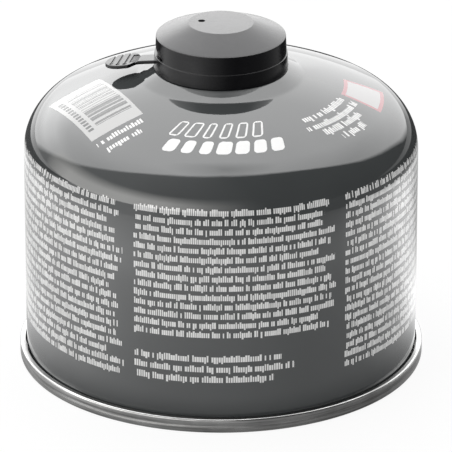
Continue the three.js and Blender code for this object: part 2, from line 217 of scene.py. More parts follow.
def turned(name: str, profile: Array, segments: int = 192, closed: bool = False,
           shape: Shaping | None = None) -> bpy.types.Object:
    """A profile turned about the axis.

    A profile point (r, z) at the azimuth a is the point (r sin a, -r cos a, z). Rows
    on the axis shrink to one point.

    Args:
        name: the piece's name.
        profile: rows of [radius, height], with the material on their left.
        segments: points round the axis.
        closed: whether the profile's last point joins its first.
        shape: changes the radii, given grids of radius, height and azimuth.

    Returns:
        The finished object.
    """
    azimuth = np.linspace(0.0, 2.0 * np.pi, segments, endpoint=False)
    radius = np.repeat(profile[:, :1], segments, axis=1)
    height = np.repeat(profile[:, 1:], segments, axis=1)
    if shape is not None:
        radius = shape(radius, height, azimuth[None, :])
    grid = np.stack([radius * np.sin(azimuth), -radius * np.cos(azimuth), height], axis=-1)
    faces = grid_faces(len(profile), segments, closed, True)
    owner = np.arange(len(profile) * segments)
    for row in np.flatnonzero(profile[:, 0] < 1e-6):
        owner[row * segments:(row + 1) * segments] = row * segments
    faces = owner[faces]
    kept, numbers = np.unique(faces, return_inverse=True)
    numbers = numbers.reshape(-1, 4)
    points = grid.reshape(-1, 3)[kept]
    loops = [tuple(dict.fromkeys(face)) for face in numbers.tolist()]
    return solid(name, points, [face for face in loops if len(face) > 2])


def carried(name: str, path: Array, radius: float, sides: int = 12) -> bpy.types.Object:
    """A round wire of one radius carried along a path, with domed ends.

    Each ring of the wire lies across the path: its two directions are the path's
    sideways direction, at right angles to its tangent and the axis, and the tangent's
    cross product with that. The end rings shrink along a quarter circle to a point.

    Args:
        name: the piece's name.
        path: points of the wire's middle, in mm.
        radius: the wire's radius, in mm.
        sides: points round the wire.

    Returns:
        The finished object.
    """
    tangent = np.gradient(path, axis=0)
    tangent /= np.linalg.norm(tangent, axis=1, keepdims=True)
    side = np.cross(tangent, [0.0, 0.0, 1.0])
    side /= np.linalg.norm(side, axis=1, keepdims=True)
    over = np.cross(side, tangent)
    dome = np.radians(np.array([90.0, 60.0, 30.0]))
    middle = np.concatenate([
        path[:1] - tangent[:1] * radius * np.sin(dome)[:, None],
        path,
        path[-1:] + tangent[-1:] * radius * np.sin(dome[::-1])[:, None]])
    width = np.concatenate([np.maximum(np.cos(dome), 1e-3), np.ones(len(path)),
                            np.maximum(np.cos(dome[::-1]), 1e-3)]) * radius
    ends = ((dome.size, dome.size), (0, 0))
    side, over = np.pad(side, ends, mode="edge"), np.pad(over, ends, mode="edge")
    turn = np.linspace(0.0, 2.0 * np.pi, sides, endpoint=False)[None, :, None]
    ring = np.cos(turn) * side[:, None] + np.sin(turn) * over[:, None]
    grid = middle[:, None] + width[:, None, None] * ring
    faces = grid_faces(len(middle), sides, False, True).tolist()
    faces.append(list(range(sides))[::-1])
    faces.append(list(range((len(middle) - 1) * sides, len(middle) * sides)))
    return solid(name, grid.reshape(-1, 3), faces, crease=80.0)


def combined(piece: bpy.types.Object, other: bpy.types.Object, operation: str) -> None:
    """Joins the other solid to the piece or cuts it away, and removes it.

    Args:
        piece: the object that is changed.
        other: the object that is joined or cut away.
        operation: UNION or DIFFERENCE.
    """
    modifier = piece.modifiers.new("combined", "BOOLEAN")
    modifier.operation = operation
    modifier.solver = "EXACT"
    modifier.object = other
    graph = bpy.context.evaluated_depsgraph_get()
    mesh = bpy.data.meshes.new_from_object(piece.evaluated_get(graph), depsgraph=graph)
    piece.modifiers.clear()
    old = piece.data
    piece.data = mesh
    mesh.name = piece.name
    bpy.data.meshes.remove(old)
    bpy.data.objects.remove(other)
    smoothed(mesh, CUT_CREASE)


# Shader graphs

class Graph:
    """Short-hand for wiring shader nodes: each call adds a node and returns its output."""

    def __init__(self, tree: bpy.types.NodeTree) -> None:
        """Clears the tree and keeps it.

        Args:
            tree: the node tree of a material or world.
        """
        self.tree = tree
        tree.nodes.clear()

    def add(self, kind: str, **settings: object) -> bpy.types.Node:
        """A new node with its settings.

        Args:
            kind: the node's type name.
            **settings: properties to set on it.

        Returns:
            The node.
        """
        node = self.tree.nodes.new(kind)
        for name, value in settings.items():
            setattr(node, name, value)
        return node

    def feed(self, socket: Socket, value: object) -> None:
        """Links a socket's output to an input, or sets the input's own value."""
        if isinstance(value, bpy.types.NodeSocket):
            self.tree.links.new(value, socket)
        else:
            socket.default_value = value

    def fill(self, node: bpy.types.Node, values: dict[str, object]) -> None:
        """Links or sets several inputs of a node by their names."""
        for name, value in values.items():
            self.feed(node.inputs[name], value)

    def math(self, operation: str, *values: Number) -> Socket:
        """One Math node.

        Args:
            operation: the node's operation.
            *values: its one, two or three numbers or sockets.

        Returns:
            The result.
        """
        node = self.add("ShaderNodeMath", operation=operation)
        for socket, value in zip(node.inputs, values):
            self.feed(socket, value)
        return node.outputs[0]

    def plus(self, a: Number, b: Number) -> Socket:
        """Sum of two numbers."""
        return self.math("ADD", a, b)

    def minus(self, a: Number, b: Number) -> Socket:
        """Difference of two numbers."""
        return self.math("SUBTRACT", a, b)

    def times(self, a: Number, b: Number) -> Socket:
        """Product of two numbers."""
        return self.math("MULTIPLY", a, b)

    def over(self, a: Number, b: Number) -> Socket:
        """Quotient of two numbers."""
        return self.math("DIVIDE", a, b)

    def above(self, a: Number, b: Number) -> Socket:
        """1 where a is greater than b, and 0 elsewhere."""
        return self.math("GREATER_THAN", a, b)

    def below(self, a: Number, b: Number) -> Socket:
        """1 where a is less than b, and 0 elsewhere."""
        return self.math("LESS_THAN", a, b)

    def near(self, a: Number, centre: Number, reach: Number) -> Socket:
        """1 where a lies within a reach of the centre, and 0 elsewhere."""
        return self.below(self.math("ABSOLUTE", self.minus(a, centre)), reach)

    def floor(self, a: Number) -> Socket:
        """The whole number at or under a."""
        return self.math("FLOOR", a)

    def share(self, a: Number) -> Socket:
        """What a has past the whole number under it."""
        return self.math("FRACT", a)

    def all_of(self, *masks: Socket) -> Socket:
        """1 where every mask is 1."""
        result = masks[0]
        for mask in masks[1:]:
            result = self.times(result, mask)
        return result

    def any_of(self, *masks: Socket) -> Socket:
        """The greatest of the masks."""
        result = masks[0]
        for mask in masks[1:]:
            result = self.math("MAXIMUM", result, mask)
        return result

    def random(self, a: Number, b: Number, seed: float) -> Socket:
        """A fixed random number from 0 to 1 for each pair of whole numbers.

        Args:
            a: first whole number.
            b: second whole number.
            seed: picks another set of numbers.

        Returns:
            The random number.
        """
        noise = self.add("ShaderNodeTexWhiteNoise", noise_dimensions="3D")
        self.fill(noise, {"Vector": self.vector(self.plus(a, 0.5), self.plus(b, 0.5), seed)})
        return noise.outputs["Value"]

    def vector(self, *parts: Number) -> Socket:
        """A place from its three coordinates."""
        node = self.add("ShaderNodeCombineXYZ")
        for socket, part in zip(node.inputs, parts):
            self.feed(socket, part)
        return node.outputs[0]

    def noise(self, vector: Socket, grain: Grain) -> Socket:
        """Smooth noise from 0 to 1.

        Args:
            vector: where it is read.
            grain: cells in a metre, number of finer octaves and their strength.

        Returns:
            The noise.
        """
        scale, detail, roughness = grain
        node = self.add("ShaderNodeTexNoise", noise_dimensions="3D")
        self.fill(node, {"Vector": vector, "Scale": scale, "Detail": detail,
                         "Roughness": roughness})
        return node.outputs["Fac"]

    def mixed(self, share: Number, low: Number, high: Number) -> Socket:
        """A number between two others, by a share from 0 to 1."""
        return self.spread(share, 0.0, 1.0, low, high)

    def window(self, value: Number, rise: Pair, fall: Pair, level: float = 1.0) -> Socket:
        """A level reached over one stretch of a value and left over a later one.

        Args:
            value: the value.
            rise: where the result leaves 0 and where it reaches the level.
            fall: where the result leaves the level and where it is 0 again.
            level: the result between the two.

        Returns:
            The result.
        """
        return self.times(self.spread(value, *rise, 0.0, level),
                          self.spread(value, *fall, 1.0, 0.0))

    def azimuth(self, x: Socket, y: Socket) -> Socket:
        """Degrees from the front towards +X: the angle whose tangent is x over -y."""
        return self.math("DEGREES", self.math("ARCTAN2", x, self.times(y, -1.0)))

    def spread(self, value: Number, low: Number, high: Number, to_low: Number = 0.0,
               to_high: Number = 1.0) -> Socket:
        """A value moved from one range to another and held inside it.

        Args:
            value: the value.
            low: its lowest useful value.
            high: its highest useful value.
            to_low: result at the lowest value.
            to_high: result at the highest value.

        Returns:
            The result.
        """
        node = self.add("ShaderNodeMapRange")
        for socket, number in zip(node.inputs, (value, low, high, to_low, to_high)):
            self.feed(socket, number)
        return node.outputs[0]

    def ramp(self, value: Number, stops: Stops) -> Socket:
        """A number read from straight lines between stops.

        Args:
            value: where to read.
            stops: pairs of a place and the result there, in rising order.

        Returns:
            The result, held at the ends.
        """
        first, last = stops[0][0], stops[-1][0]
        top = max(max(result for _, result in stops), 0.0)
        low = min(min(result for _, result in stops), 0.0)
        node = self.add("ShaderNodeValToRGB")
        elements = node.color_ramp.elements
        elements[1].position = 1.0
        for _ in stops[2:]:
            elements.new(0.5)
        for element, (place, result) in zip(elements, stops):
            element.position = (place - first) / (last - first)
            shade = (result - low) / (top - low)
            element.color = (shade, shade, shade, 1.0)
        along = self.over(self.minus(value, float(first)), float(last - first))
        self.feed(node.inputs[0], along)
        return self.plus(self.times(node.outputs[0], top - low), low)

    def blend(self, share: Number, a: object, b: object) -> Socket:
        """A colour between two colours.

        Args:
            share: 0 for the first and 1 for the second.
            a: first colour or socket.
            b: second colour or socket.

        Returns:
            The mixed colour.
        """
        node = self.add("ShaderNodeMix", data_type="RGBA")
        self.feed(node.inputs[0], share)
        for socket, value in ((node.inputs[6], a), (node.inputs[7], b)):
            self.feed(socket, value if isinstance(value, bpy.types.NodeSocket) else (*value, 1.0))
        return node.outputs[2]

    def object_place(self) -> Socket:
        """Where the shaded point lies, in metres."""
        return self.add("ShaderNodeTexCoord").outputs["Object"]

    def stretched(self, vector: Socket, scale: Point) -> Socket:
        """A place scaled along each axis."""
        node = self.add("ShaderNodeMapping")
        self.fill(node, {"Vector": vector, "Scale": scale})
        return node.outputs[0]

    def bump(self, height: Socket, distance: float, strength: float = 1.0) -> Socket:
        """A normal tilted by a height.

        Args:
            height: the height, from 0 to 1.
            distance: how deep a height of 1 is, in metres.
            strength: share of the tilt that is used.

        Returns:
            The normal.
        """
        node = self.add("ShaderNodeBump")
        self.fill(node, {"Strength": strength, "Distance": distance, "Height": height})
        return node.outputs[0]


def blank_material(name: str) -> tuple[bpy.types.Material, Graph]:
    """A material and its empty graph."""
    material = bpy.data.materials.new(name)
    material.use_nodes = True
    return material, Graph(material.node_tree)


def new_material(name: str) -> tuple[bpy.types.Material, Graph, bpy.types.Node]:
    """A material with an empty graph that ends in a Principled shader.

    Args:
        name: the material's name.

    Returns:
        The material, its graph and the shader node.
    """
    material, graph = blank_material(name)
    shader = graph.add("ShaderNodeBsdfPrincipled")
    output = graph.add("ShaderNodeOutputMaterial")
    graph.tree.links.new(shader.outputs[0], output.inputs[0])
    return material, graph, shader


@dataclass(frozen=True)
class Place:
    """Sockets that say where the shaded point lies on the can, in mm and degrees."""

    x: Socket
    y: Socket
    z: Socket
    radius: Socket
    azimuth: Socket

    @classmethod
    def on_can(cls, graph: Graph) -> "Place":
        """The place in the canister's own cylinder coordinates."""
        parts = graph.add("ShaderNodeSeparateXYZ")
        graph.feed(parts.inputs[0], graph.object_place())
        x, y, z = (graph.times(parts.outputs[i], 1.0 / MM) for i in range(3))
        radius = graph.math("SQRT", graph.plus(graph.times(x, x), graph.times(y, y)))
        return cls(x, y, z, radius, graph.azimuth(x, y))


@dataclass(frozen=True)
class StrokeRow:
    """A row of fine upright strokes in word-like runs, which stands for small print."""

    letter_pitch: float = 0.56
    widths: Pair = (0.58, 0.92)
    body_height: float = 1.38
    ascender: float = 0.42
    space_share: float = 0.17
    tall_above: float = 0.66
    deep_below: float = 0.1

    def mask(self, graph: Graph, along: Socket, across: Socket, row: Number,
             seed: float) -> Socket:
        """Where the row has ink.

        Each cell of the pitch holds one stroke of random width. A cell is a space where
        its random number is small and that of the cell before it isn't.

        Args:
            graph: the graph to add to.
            along: mm along the row.
            across: mm up from the row's middle.
            row: the row's number.
            seed: picks the words.

        Returns:
            1 on a stroke and 0 elsewhere.
        """
        place = graph.over(along, self.letter_pitch)
        letter = graph.floor(place)
        space = graph.below(graph.random(letter, row, seed), self.space_share)
        before = graph.random(graph.minus(letter, 1.0), row, seed)
        written = graph.minus(1.0, graph.times(space, graph.above(before, self.space_share)))
        rise = graph.random(letter, row, seed + 1.0)
        half = self.body_height / 2
        tall = graph.times(graph.above(rise, self.tall_above), self.ascender)
        deep = graph.times(graph.below(rise, self.deep_below), self.ascender)
        narrow, wide = self.widths
        width = graph.mixed(graph.random(letter, row, seed + 2.0), narrow / 2, wide / 2)
        return graph.all_of(written, graph.near(graph.share(place), 0.5, width),
                            graph.below(across, graph.plus(half, tall)),
                            graph.above(across, graph.minus(-half, deep)))


@dataclass(frozen=True)
class WallPrint:
    """Columns of small print round the can's wall, with a few wider rows at the front's foot."""

    wall_radius: float = 53.2
    wall_reach: float = 3.0
    first_row_z: float = 62.3
    row_pitch: float = 2.67
    rows: int = 19
    block_start: float = -25.5
    block_pitch: float = 63.6
    block_width: float = 60.4
    blocks_each_side: int = 2
    front_rows: int = 14
    shortest_row: float = 0.88
    foot_rows: int = 3
    foot_first_z: float = 20.6
    foot_pitch: float = 2.95
    foot_lengths: Pair = (37.0, 58.0)
    row: StrokeRow = StrokeRow()
    foot_row: StrokeRow = StrokeRow(letter_pitch=0.64, body_height=1.45)
    numbers_a_block: float = 40.0
    length_seed: float = 5.0
    row_seed: float = 11.0
    foot_length_seed: float = 23.0
    foot_seed: float = 31.0

    def mask(self, graph: Graph, place: Place) -> Socket:
        """Where the wall has ink.

        A block's own distance along its rows is its azimuth past the block's start
        times the length of a degree on the wall. Rows end at random lengths.

        Args:
            graph: the graph to add to.
            place: the shaded point.

        Returns:
            1 on ink and 0 elsewhere.
        """
        degree = math.radians(1.0) * self.wall_radius
        turns = graph.over(graph.minus(place.azimuth, self.block_start), self.block_pitch)
        block = graph.floor(turns)
        angle = graph.times(graph.share(turns), self.block_pitch)
        along = graph.times(angle, degree)
        in_block = graph.near(block, 0.0, self.blocks_each_side + 0.5)
        front = graph.near(block, 0.0, 0.5)

        row, across = self._row_place(graph, place, self.first_row_z, self.row_pitch)
        last = graph.minus(self.rows - 0.5, graph.times(front, self.rows - self.front_rows))
        end = graph.math("SQRT", graph.random(row, block, self.length_seed))
        length = graph.times(graph.mixed(end, self.shortest_row, 1.0), self.block_width)
        number = graph.plus(row, graph.times(block, self.numbers_a_block))
        body = graph.all_of(in_block, graph.above(row, -0.5), graph.below(row, last),
                            graph.below(angle, length),
                            self.row.mask(graph, along, across, number, self.row_seed))

        row, across = self._row_place(graph, place, self.foot_first_z, self.foot_pitch)
        length = graph.mixed(graph.random(row, block, self.foot_length_seed),
                             *self.foot_lengths)
        foot = graph.all_of(front, graph.near(row, (self.foot_rows - 1) / 2, self.foot_rows / 2),
                            graph.below(angle, length),
                            self.foot_row.mask(graph, along, across, row, self.foot_seed))
        on_wall = graph.above(place.radius, self.wall_radius - self.wall_reach)
        return graph.times(on_wall, graph.any_of(body, foot))

    def _row_place(self, graph: Graph, place: Place, first_z: float,
                   pitch: float) -> tuple[Socket, Socket]:
        """Number of the nearest row, and mm up from its middle."""
        down = graph.over(graph.minus(first_z, place.z), pitch)
        row = graph.math("ROUND", down)
        return row, graph.times(graph.minus(row, down), pitch)


@dataclass(frozen=True)
class BlockBand:
    """A band of slanted rounded blocks laid along an arc of the dome.

    Radii and heights are in mm, start and end in degrees, and the slant in degrees a mm.
    An outline of 0 fills the blocks.
    """

    middle_radius: float
    half_height: float
    start: float
    end: float
    blocks: int
    gap: float
    corner: float
    outline: float
    slant: float
    seed: float
    narrowest: float = 0.72

    def mask(self, graph: Graph, place: Place) -> Socket:
        """Where the band has ink.

        A block is a rounded box: its distance is the length of what lies past the box
        shrunk by the corner, less the corner. An outline keeps a thin rim of it.

        Args:
            graph: the graph to add to.
            place: the shaded point.

        Returns:
            1 on ink and 0 elsewhere.
        """
        up = graph.minus(self.middle_radius, place.radius)
        angle = graph.minus(place.azimuth, graph.times(up, self.slant))
        pitch = (self.end - self.start) / self.blocks
        pitch_mm = pitch * (math.radians(1.0) * self.middle_radius)
        turns = graph.over(graph.minus(angle, self.start), pitch)
        width = graph.mixed(graph.random(graph.floor(turns), 0.0, self.seed), self.narrowest, 1.0)
        half = graph.times(width, (pitch_mm - self.gap) / 2)
        aside = graph.math("ABSOLUTE",
                           graph.times(graph.minus(graph.share(turns), 0.5), pitch_mm))
        above = graph.math("ABSOLUTE", up)
        past_x = self._past(graph, aside, half)
        past_y = self._past(graph, above, self.half_height)
        length = graph.math("SQRT", graph.plus(graph.times(past_x, past_x),
                                               graph.times(past_y, past_y)))
        inside = graph.below(graph.minus(length, self.corner), 0.0)
        if self.outline > 0.0:
            edge = graph.any_of(graph.minus(aside, half), graph.minus(above, self.half_height))
            inside = graph.times(inside, graph.above(edge, -self.outline))
        return graph.all_of(inside, graph.above(turns, 0.0),
                            graph.below(turns, float(self.blocks)))

    def _past(self, graph: Graph, distance: Socket, half: Number) -> Socket:
        """How far a distance from the middle lies past the box shrunk by the corner."""
        return graph.any_of(graph.minus(distance, graph.minus(half, self.corner)), 0.0)


@dataclass(frozen=True)
class DomePrint:
    """Marks on the dome: two bands of blocks, a striped panel, rows and a colour patch."""

    hollow: BlockBand = BlockBand(middle_radius=33.4, half_height=2.9, start=-22.5, end=20.5,
                                  blocks=6, gap=1.0, corner=1.0, outline=0.5, slant=0.55, seed=3.0)
    full: BlockBand = BlockBand(middle_radius=39.6, half_height=2.2, start=-22.5, end=25.5,
                                blocks=7, gap=0.8, corner=1.1, outline=0.0, slant=0.35, seed=8.0)
    lowest_z: float = 62.0
    marks_within: float = 50.0
    panel_azimuth: float = -65.4
    panel_radial: Pair = (28.4, 43.2)
    panel_across: Pair = (-16.6, 12.6)
    stripe_radial: Pair = (29.3, 39.6)
    stripe_across: Pair = (-13.2, 8.6)
    stripe_pitch: float = 0.32
    bare_share: float = 0.46
    palest_stripe: float = 0.7
    dash_radial: float = 41.4
    dash_half: float = 0.75
    dash_pitch: float = 1.7
    dash_gap: float = 0.38
    panel_lines: tuple[Point, ...] = ((15.3, 36.0, 6.8), (18.9, 36.6, 5.0))
    rows_azimuth: float = 56.0
    rows: Stops = ((33.9, 16.4), (37.2, 18.0), (39.9, 12.3), (42.8, 6.9))
    patch_radius: float = 38.4
    patch_azimuth: float = 86.0
    patch_half: Pair = (6.4, 5.4)
    patch_border: float = 1.0
    row: StrokeRow = StrokeRow(letter_pitch=0.8, widths=(0.55, 0.85), body_height=1.45,
                               ascender=0.55, space_share=0.12)
    rows_seed: float = 41.0
    lines_seed: float = 53.0
    stripe_seed: float = 61.0
    shade_seed: float = 67.0

    def marks(self, graph: Graph, place: Place) -> Socket:
        """White ink of the bands and rows.

        Args:
            graph: the graph to add to.
            place: the shaded point.

        Returns:
            1 on ink and 0 elsewhere.
        """
        masks = [self.hollow.mask(graph, place), self.full.mask(graph, place)]
        for number, (radius, half) in enumerate(self.rows):
            angle = graph.minus(place.azimuth, self.rows_azimuth)
            along = graph.times(angle, math.radians(1.0) * radius)
            across = graph.minus(radius, place.radius)
            ink = self.row.mask(graph, along, across, float(number), self.rows_seed)
            masks.append(graph.times(graph.near(angle, 0.0, half), ink))
        radial, across = self._panel_place(graph, place)
        for number, (level, middle, half) in enumerate(self.panel_lines):
            ink = self.row.mask(graph, radial, graph.minus(level, across), float(number),
                                self.lines_seed)
            masks.append(graph.times(graph.near(radial, middle, half), ink))
        on_dome = graph.all_of(graph.above(place.z, self.lowest_z),
                               graph.below(place.radius, self.marks_within))
        return graph.times(on_dome, graph.any_of(*masks))

    def panel(self, graph: Graph, place: Place) -> tuple[Socket, Socket]:
        """The white panel and the grey stripes on it.

        Args:
            graph: the graph to add to.
            place: the shaded point.

        Returns:
            The panel's mask and the stripes' mask.
        """
        radial, across = self._panel_place(graph, place)
        panel = graph.all_of(self._between(graph, radial, self.panel_radial),
                             self._between(graph, across, self.panel_across),
                             graph.above(place.z, self.lowest_z))
        number = graph.floor(graph.over(across, self.stripe_pitch))
        beside = self._between(graph, across, self.stripe_across)
        shade = graph.mixed(graph.random(number, 0.0, self.shade_seed), self.palest_stripe, 1.0)
        drawn = graph.above(graph.random(number, 0.0, self.stripe_seed), self.bare_share)
        stripes = graph.all_of(self._between(graph, radial, self.stripe_radial), beside,
                               drawn, shade)
        dashes = graph.all_of(graph.near(radial, self.dash_radial, self.dash_half), beside,
                              graph.above(graph.share(graph.over(across, self.dash_pitch)),
                                          self.dash_gap))
        return panel, graph.any_of(stripes, dashes)

    def patch(self, graph: Graph, place: Place) -> tuple[Socket, Socket]:
        """The pale colour patch and its red border.

        Args:
            graph: the graph to add to.
            place: the shaded point.

        Returns:
            The patch's mask and the border's mask.
        """
        degree = math.radians(1.0) * self.patch_radius
        along = graph.times(graph.minus(place.azimuth, self.patch_azimuth), degree)
        across = graph.minus(place.radius, self.patch_radius)
        whole, inside = (
            graph.all_of(graph.near(along, 0.0, self.patch_half[0] - border),
                         graph.near(across, 0.0, self.patch_half[1] - border))
            for border in (0.0, self.patch_border))
        patch = graph.times(whole, graph.above(place.z, self.lowest_z))
        return patch, graph.times(patch, graph.minus(1.0, inside))

    def _panel_place(self, graph: Graph, place: Place) -> tuple[Socket, Socket]:
        """Coordinates in the panel's frame: outwards from the axis, and across."""
        angle = math.radians(self.panel_azimuth)
        sine, cosine = math.sin(angle), math.cos(angle)
        radial = graph.plus(graph.times(place.x, sine), graph.times(place.y, -cosine))
        across = graph.plus(graph.times(place.x, cosine), graph.times(place.y, sine))
        return radial, across

    def _between(self, graph: Graph, value: Socket, ends: Pair) -> Socket:
        """1 where a value lies between two ends."""
        return graph.near(value, (ends[0] + ends[1]) / 2, (ends[1] - ends[0]) / 2)


# Finishes

@dataclass(frozen=True)
class Lacquer:
    """Glossy grey lacquer over tinplate, with white print under the clear coat."""

    name: str = "grey_lacquer"
    paint: Colour = (0.052, 0.056, 0.057)
    ink: Colour = (0.78, 0.78, 0.775)
    panel: Colour = (0.46, 0.46, 0.455)
    stripe: Colour = (0.03, 0.034, 0.034)
    patch: Colour = (0.42, 0.41, 0.41)
    red: Colour = (0.4, 0.11, 0.13)
    cloud: Grain = (45.0, 2.0, 0.5)
    cloud_lift: float = 1.12
    smear: Grain = (160.0, 3.0, 0.6)
    roughness: Pair = (0.24, 0.34)
    coat_roughness: float = 0.035
    coat_ior: float = 1.54
    peel: Grain = (420.0, 2.0, 0.5)
    coat_bump: Pair = (0.00002, 0.25)
    paint_bump: Pair = (0.00003, 0.4)
    wall_print: WallPrint = WallPrint()
    dome_print: DomePrint = DomePrint()

    def build(self) -> bpy.types.Material:
        """The material."""
        material, graph, shader = new_material(self.name)
        place = Place.on_can(graph)
        where = graph.object_place()
        cloud = graph.spread(graph.noise(where, self.cloud), 0.3, 0.7)
        colour = graph.blend(cloud, self.paint,
                             tuple(self.cloud_lift * part for part in self.paint))
        panel, stripes = self.dome_print.panel(graph, place)
        patch, border = self.dome_print.patch(graph, place)
        ink = graph.any_of(self.wall_print.mask(graph, place),
                           self.dome_print.marks(graph, place))
        for mask, shade in ((ink, self.ink), (panel, self.panel),
                            (graph.times(panel, stripes), self.stripe),
                            (patch, self.patch), (border, self.red)):
            colour = graph.blend(mask, colour, shade)
        smear = graph.noise(where, self.smear)
        peel = graph.noise(where, self.peel)
        graph.fill(shader, {
            "Base Color": colour,
            "Roughness": graph.spread(smear, 0.3, 0.8, *self.roughness),
            "Specular IOR Level": 0.0,
            "Normal": graph.bump(peel, *self.paint_bump),
            "Coat Weight": 1.0,
            "Coat Roughness": self.coat_roughness,
            "Coat IOR": self.coat_ior,
            "Coat Normal": graph.bump(peel, *self.coat_bump)})
        return material


@dataclass(frozen=True)
class Tinplate:
    """Bright drawn tinplate with fine draw lines round the axis and faint stains."""

    name: str = "bright_tinplate"
    colour: Colour = (0.46, 0.46, 0.457)
    dull: Colour = (0.17, 0.17, 0.168)
    draw: Grain = (1500.0, 3.0, 0.6)
    draw_drift: float = 0.00002
    stain: Grain = (90.0, 4.0, 0.6)
    stain_share: float = 0.4
    roughness: Pair = (0.2, 0.4)
    bump: Pair = (0.00002, 0.35)

    def build(self) -> bpy.types.Material:
        """The material: the draw lines are noise of radius and height that barely turns."""
        material, graph, shader = new_material(self.name)
        place = Place.on_can(graph)
        rings = graph.vector(graph.times(place.radius, MM),
                             graph.times(place.azimuth, self.draw_drift),
                             graph.times(place.z, MM))
        draw = graph.noise(rings, self.draw)
        stain = graph.noise(graph.object_place(), self.stain)
        streak = graph.spread(graph.plus(draw, graph.times(stain, self.stain_share)), 0.5, 0.85)
        graph.fill(shader, {
            "Base Color": graph.blend(streak, self.colour, self.dull),
            "Metallic": 1.0,
            "Roughness": graph.spread(graph.plus(draw, stain), 0.6, 1.4, *self.roughness),
            "Normal": graph.bump(draw, *self.bump)})
        return material


@dataclass(frozen=True)
class MouldedPlastic:
    """Moulded plastic with a fine sparked grain and rubbed high spots."""

    name: str
    colour: Colour
    rubbed: Colour
    roughness: Pair
    grain: Grain
    depth: float
    cloud: Grain = (130.0, 4.0, 0.6)

    def build(self) -> bpy.types.Material:
        """The material."""
        material, graph, shader = new_material(self.name)
        where = graph.object_place()
        cloud = graph.noise(where, self.cloud)
        wear = graph.spread(cloud, 0.5, 0.8)
        graph.fill(shader, {
            "IOR": 1.5,
            "Base Color": graph.blend(wear, self.colour, self.rubbed),
            "Roughness": graph.spread(cloud, 0.3, 0.7, *self.roughness),
            "Normal": graph.bump(graph.noise(where, self.grain), self.depth, 0.6)})
        return material


@dataclass(frozen=True)
class CapPlastic:
    """Black moulded plastic, polished round the band and satin on the cone and top, where its
    colour is also painted lighter as a painted sheen highlight.
    """

    name: str = "black_polyethylene"
    colour: Colour = (0.004, 0.004, 0.005)
    rubbed: Colour = (0.009, 0.009, 0.01)
    # Painted sheen highlight: the cone and top take these lighter colours to stand for light that
    # they mirror.
    cone: Colour = (0.042, 0.042, 0.044)
    sheen_painted_top_rubbed: Colour = (0.052, 0.052, 0.054)
    ior: float = 1.36
    satin_and_sheen_above: float = 91.8
    satin_and_sheen_blend: float = 0.4
    polished: Pair = (0.14, 0.2)
    satin: Pair = (0.2, 0.26)
    grain: Grain = (1900.0, 3.0, 0.65)
    cloud: Grain = (150.0, 4.0, 0.6)
    bump: Pair = (0.00003, 0.7)

    def build(self) -> bpy.types.Material:
        """The material."""
        material, graph, shader = new_material(self.name)
        where = graph.object_place()
        place = Place.on_can(graph)
        cloud = graph.noise(where, self.cloud)
        wear = graph.spread(cloud, 0.5, 0.8)
        top = graph.spread(place.z, self.satin_and_sheen_above, self.satin_and_sheen_above + self.satin_and_sheen_blend)
        low, high = (graph.mixed(top, *ends) for ends in zip(self.polished, self.satin))
        # Above the band the colour is painted lighter, a painted sheen highlight; the rubbed
        # shades on top of it are random wear.
        graph.fill(shader, {
            "IOR": self.ior,
            "Base Color": graph.blend(top, graph.blend(wear, self.colour, self.rubbed),
                                      graph.blend(wear, self.cone, self.sheen_painted_top_rubbed)),
            "Roughness": graph.spread(cloud, 0.3, 0.7, low, high),
            "Normal": graph.bump(graph.noise(where, self.grain), *self.bump)})
        return material


@dataclass(frozen=True)
class SpringSteel:
    """Drawn wire with fine marks across it."""

    name: str = "spring_wire"
    colour: Colour = (0.56, 0.56, 0.57)
    marked: Colour = (0.4, 0.4, 0.41)
    stretch: Point = (1.0, 1.0, 6.0)
    marks: Grain = (900.0, 3.0, 0.5)
    roughness: Pair = (0.18, 0.35)

    def build(self) -> bpy.types.Material:
        """The material."""
        material, graph, shader = new_material(self.name)
        marks = graph.noise(graph.stretched(graph.object_place(), self.stretch), self.marks)
        graph.fill(shader, {
            "Base Color": graph.blend(marks, self.colour, self.marked),
            "Metallic": 1.0,
            "Roughness": graph.spread(marks, 0.2, 0.8, *self.roughness)})
        return material


RUBBER = MouldedPlastic(
    name="nitrile_rubber", colour=(0.016, 0.016, 0.017), rubbed=(0.03, 0.03, 0.03),
    roughness=(0.62, 0.75), grain=(1800.0, 3.0, 0.65), depth=0.00004)
ACETAL = MouldedPlastic(
    name="natural_acetal", colour=(0.62, 0.6, 0.54), rubbed=(0.68, 0.66, 0.6),
    roughness=(0.35, 0.45), grain=(1500.0, 3.0, 0.65), depth=0.00002)


@dataclass
class Finishes:
    """The finishes of the canister, each built once."""

    lacquer: bpy.types.Material = field(default_factory=Lacquer().build)
    tinplate: bpy.types.Material = field(default_factory=Tinplate().build)
    black: bpy.types.Material = field(default_factory=CapPlastic().build)
    rubber: bpy.types.Material = field(default_factory=RUBBER.build)
    acetal: bpy.types.Material = field(default_factory=ACETAL.build)
    spring: bpy.types.Material = field(default_factory=SpringSteel().build)


def dress(piece: bpy.types.Object, material: bpy.types.Material, slot: Slot, body: Body,
          *nodes: str) -> None:
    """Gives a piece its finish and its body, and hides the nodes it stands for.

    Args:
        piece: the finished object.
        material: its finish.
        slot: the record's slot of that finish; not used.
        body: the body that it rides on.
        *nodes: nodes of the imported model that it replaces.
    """
    piece.data.materials.clear()
    piece.data.materials.append(material)
    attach(piece, body.value)
    if nodes:
        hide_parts(*nodes)
    log.info("%s: %d faces, rides on %s", piece.name, len(piece.data.polygons), body.value)


# Sub-assemblies

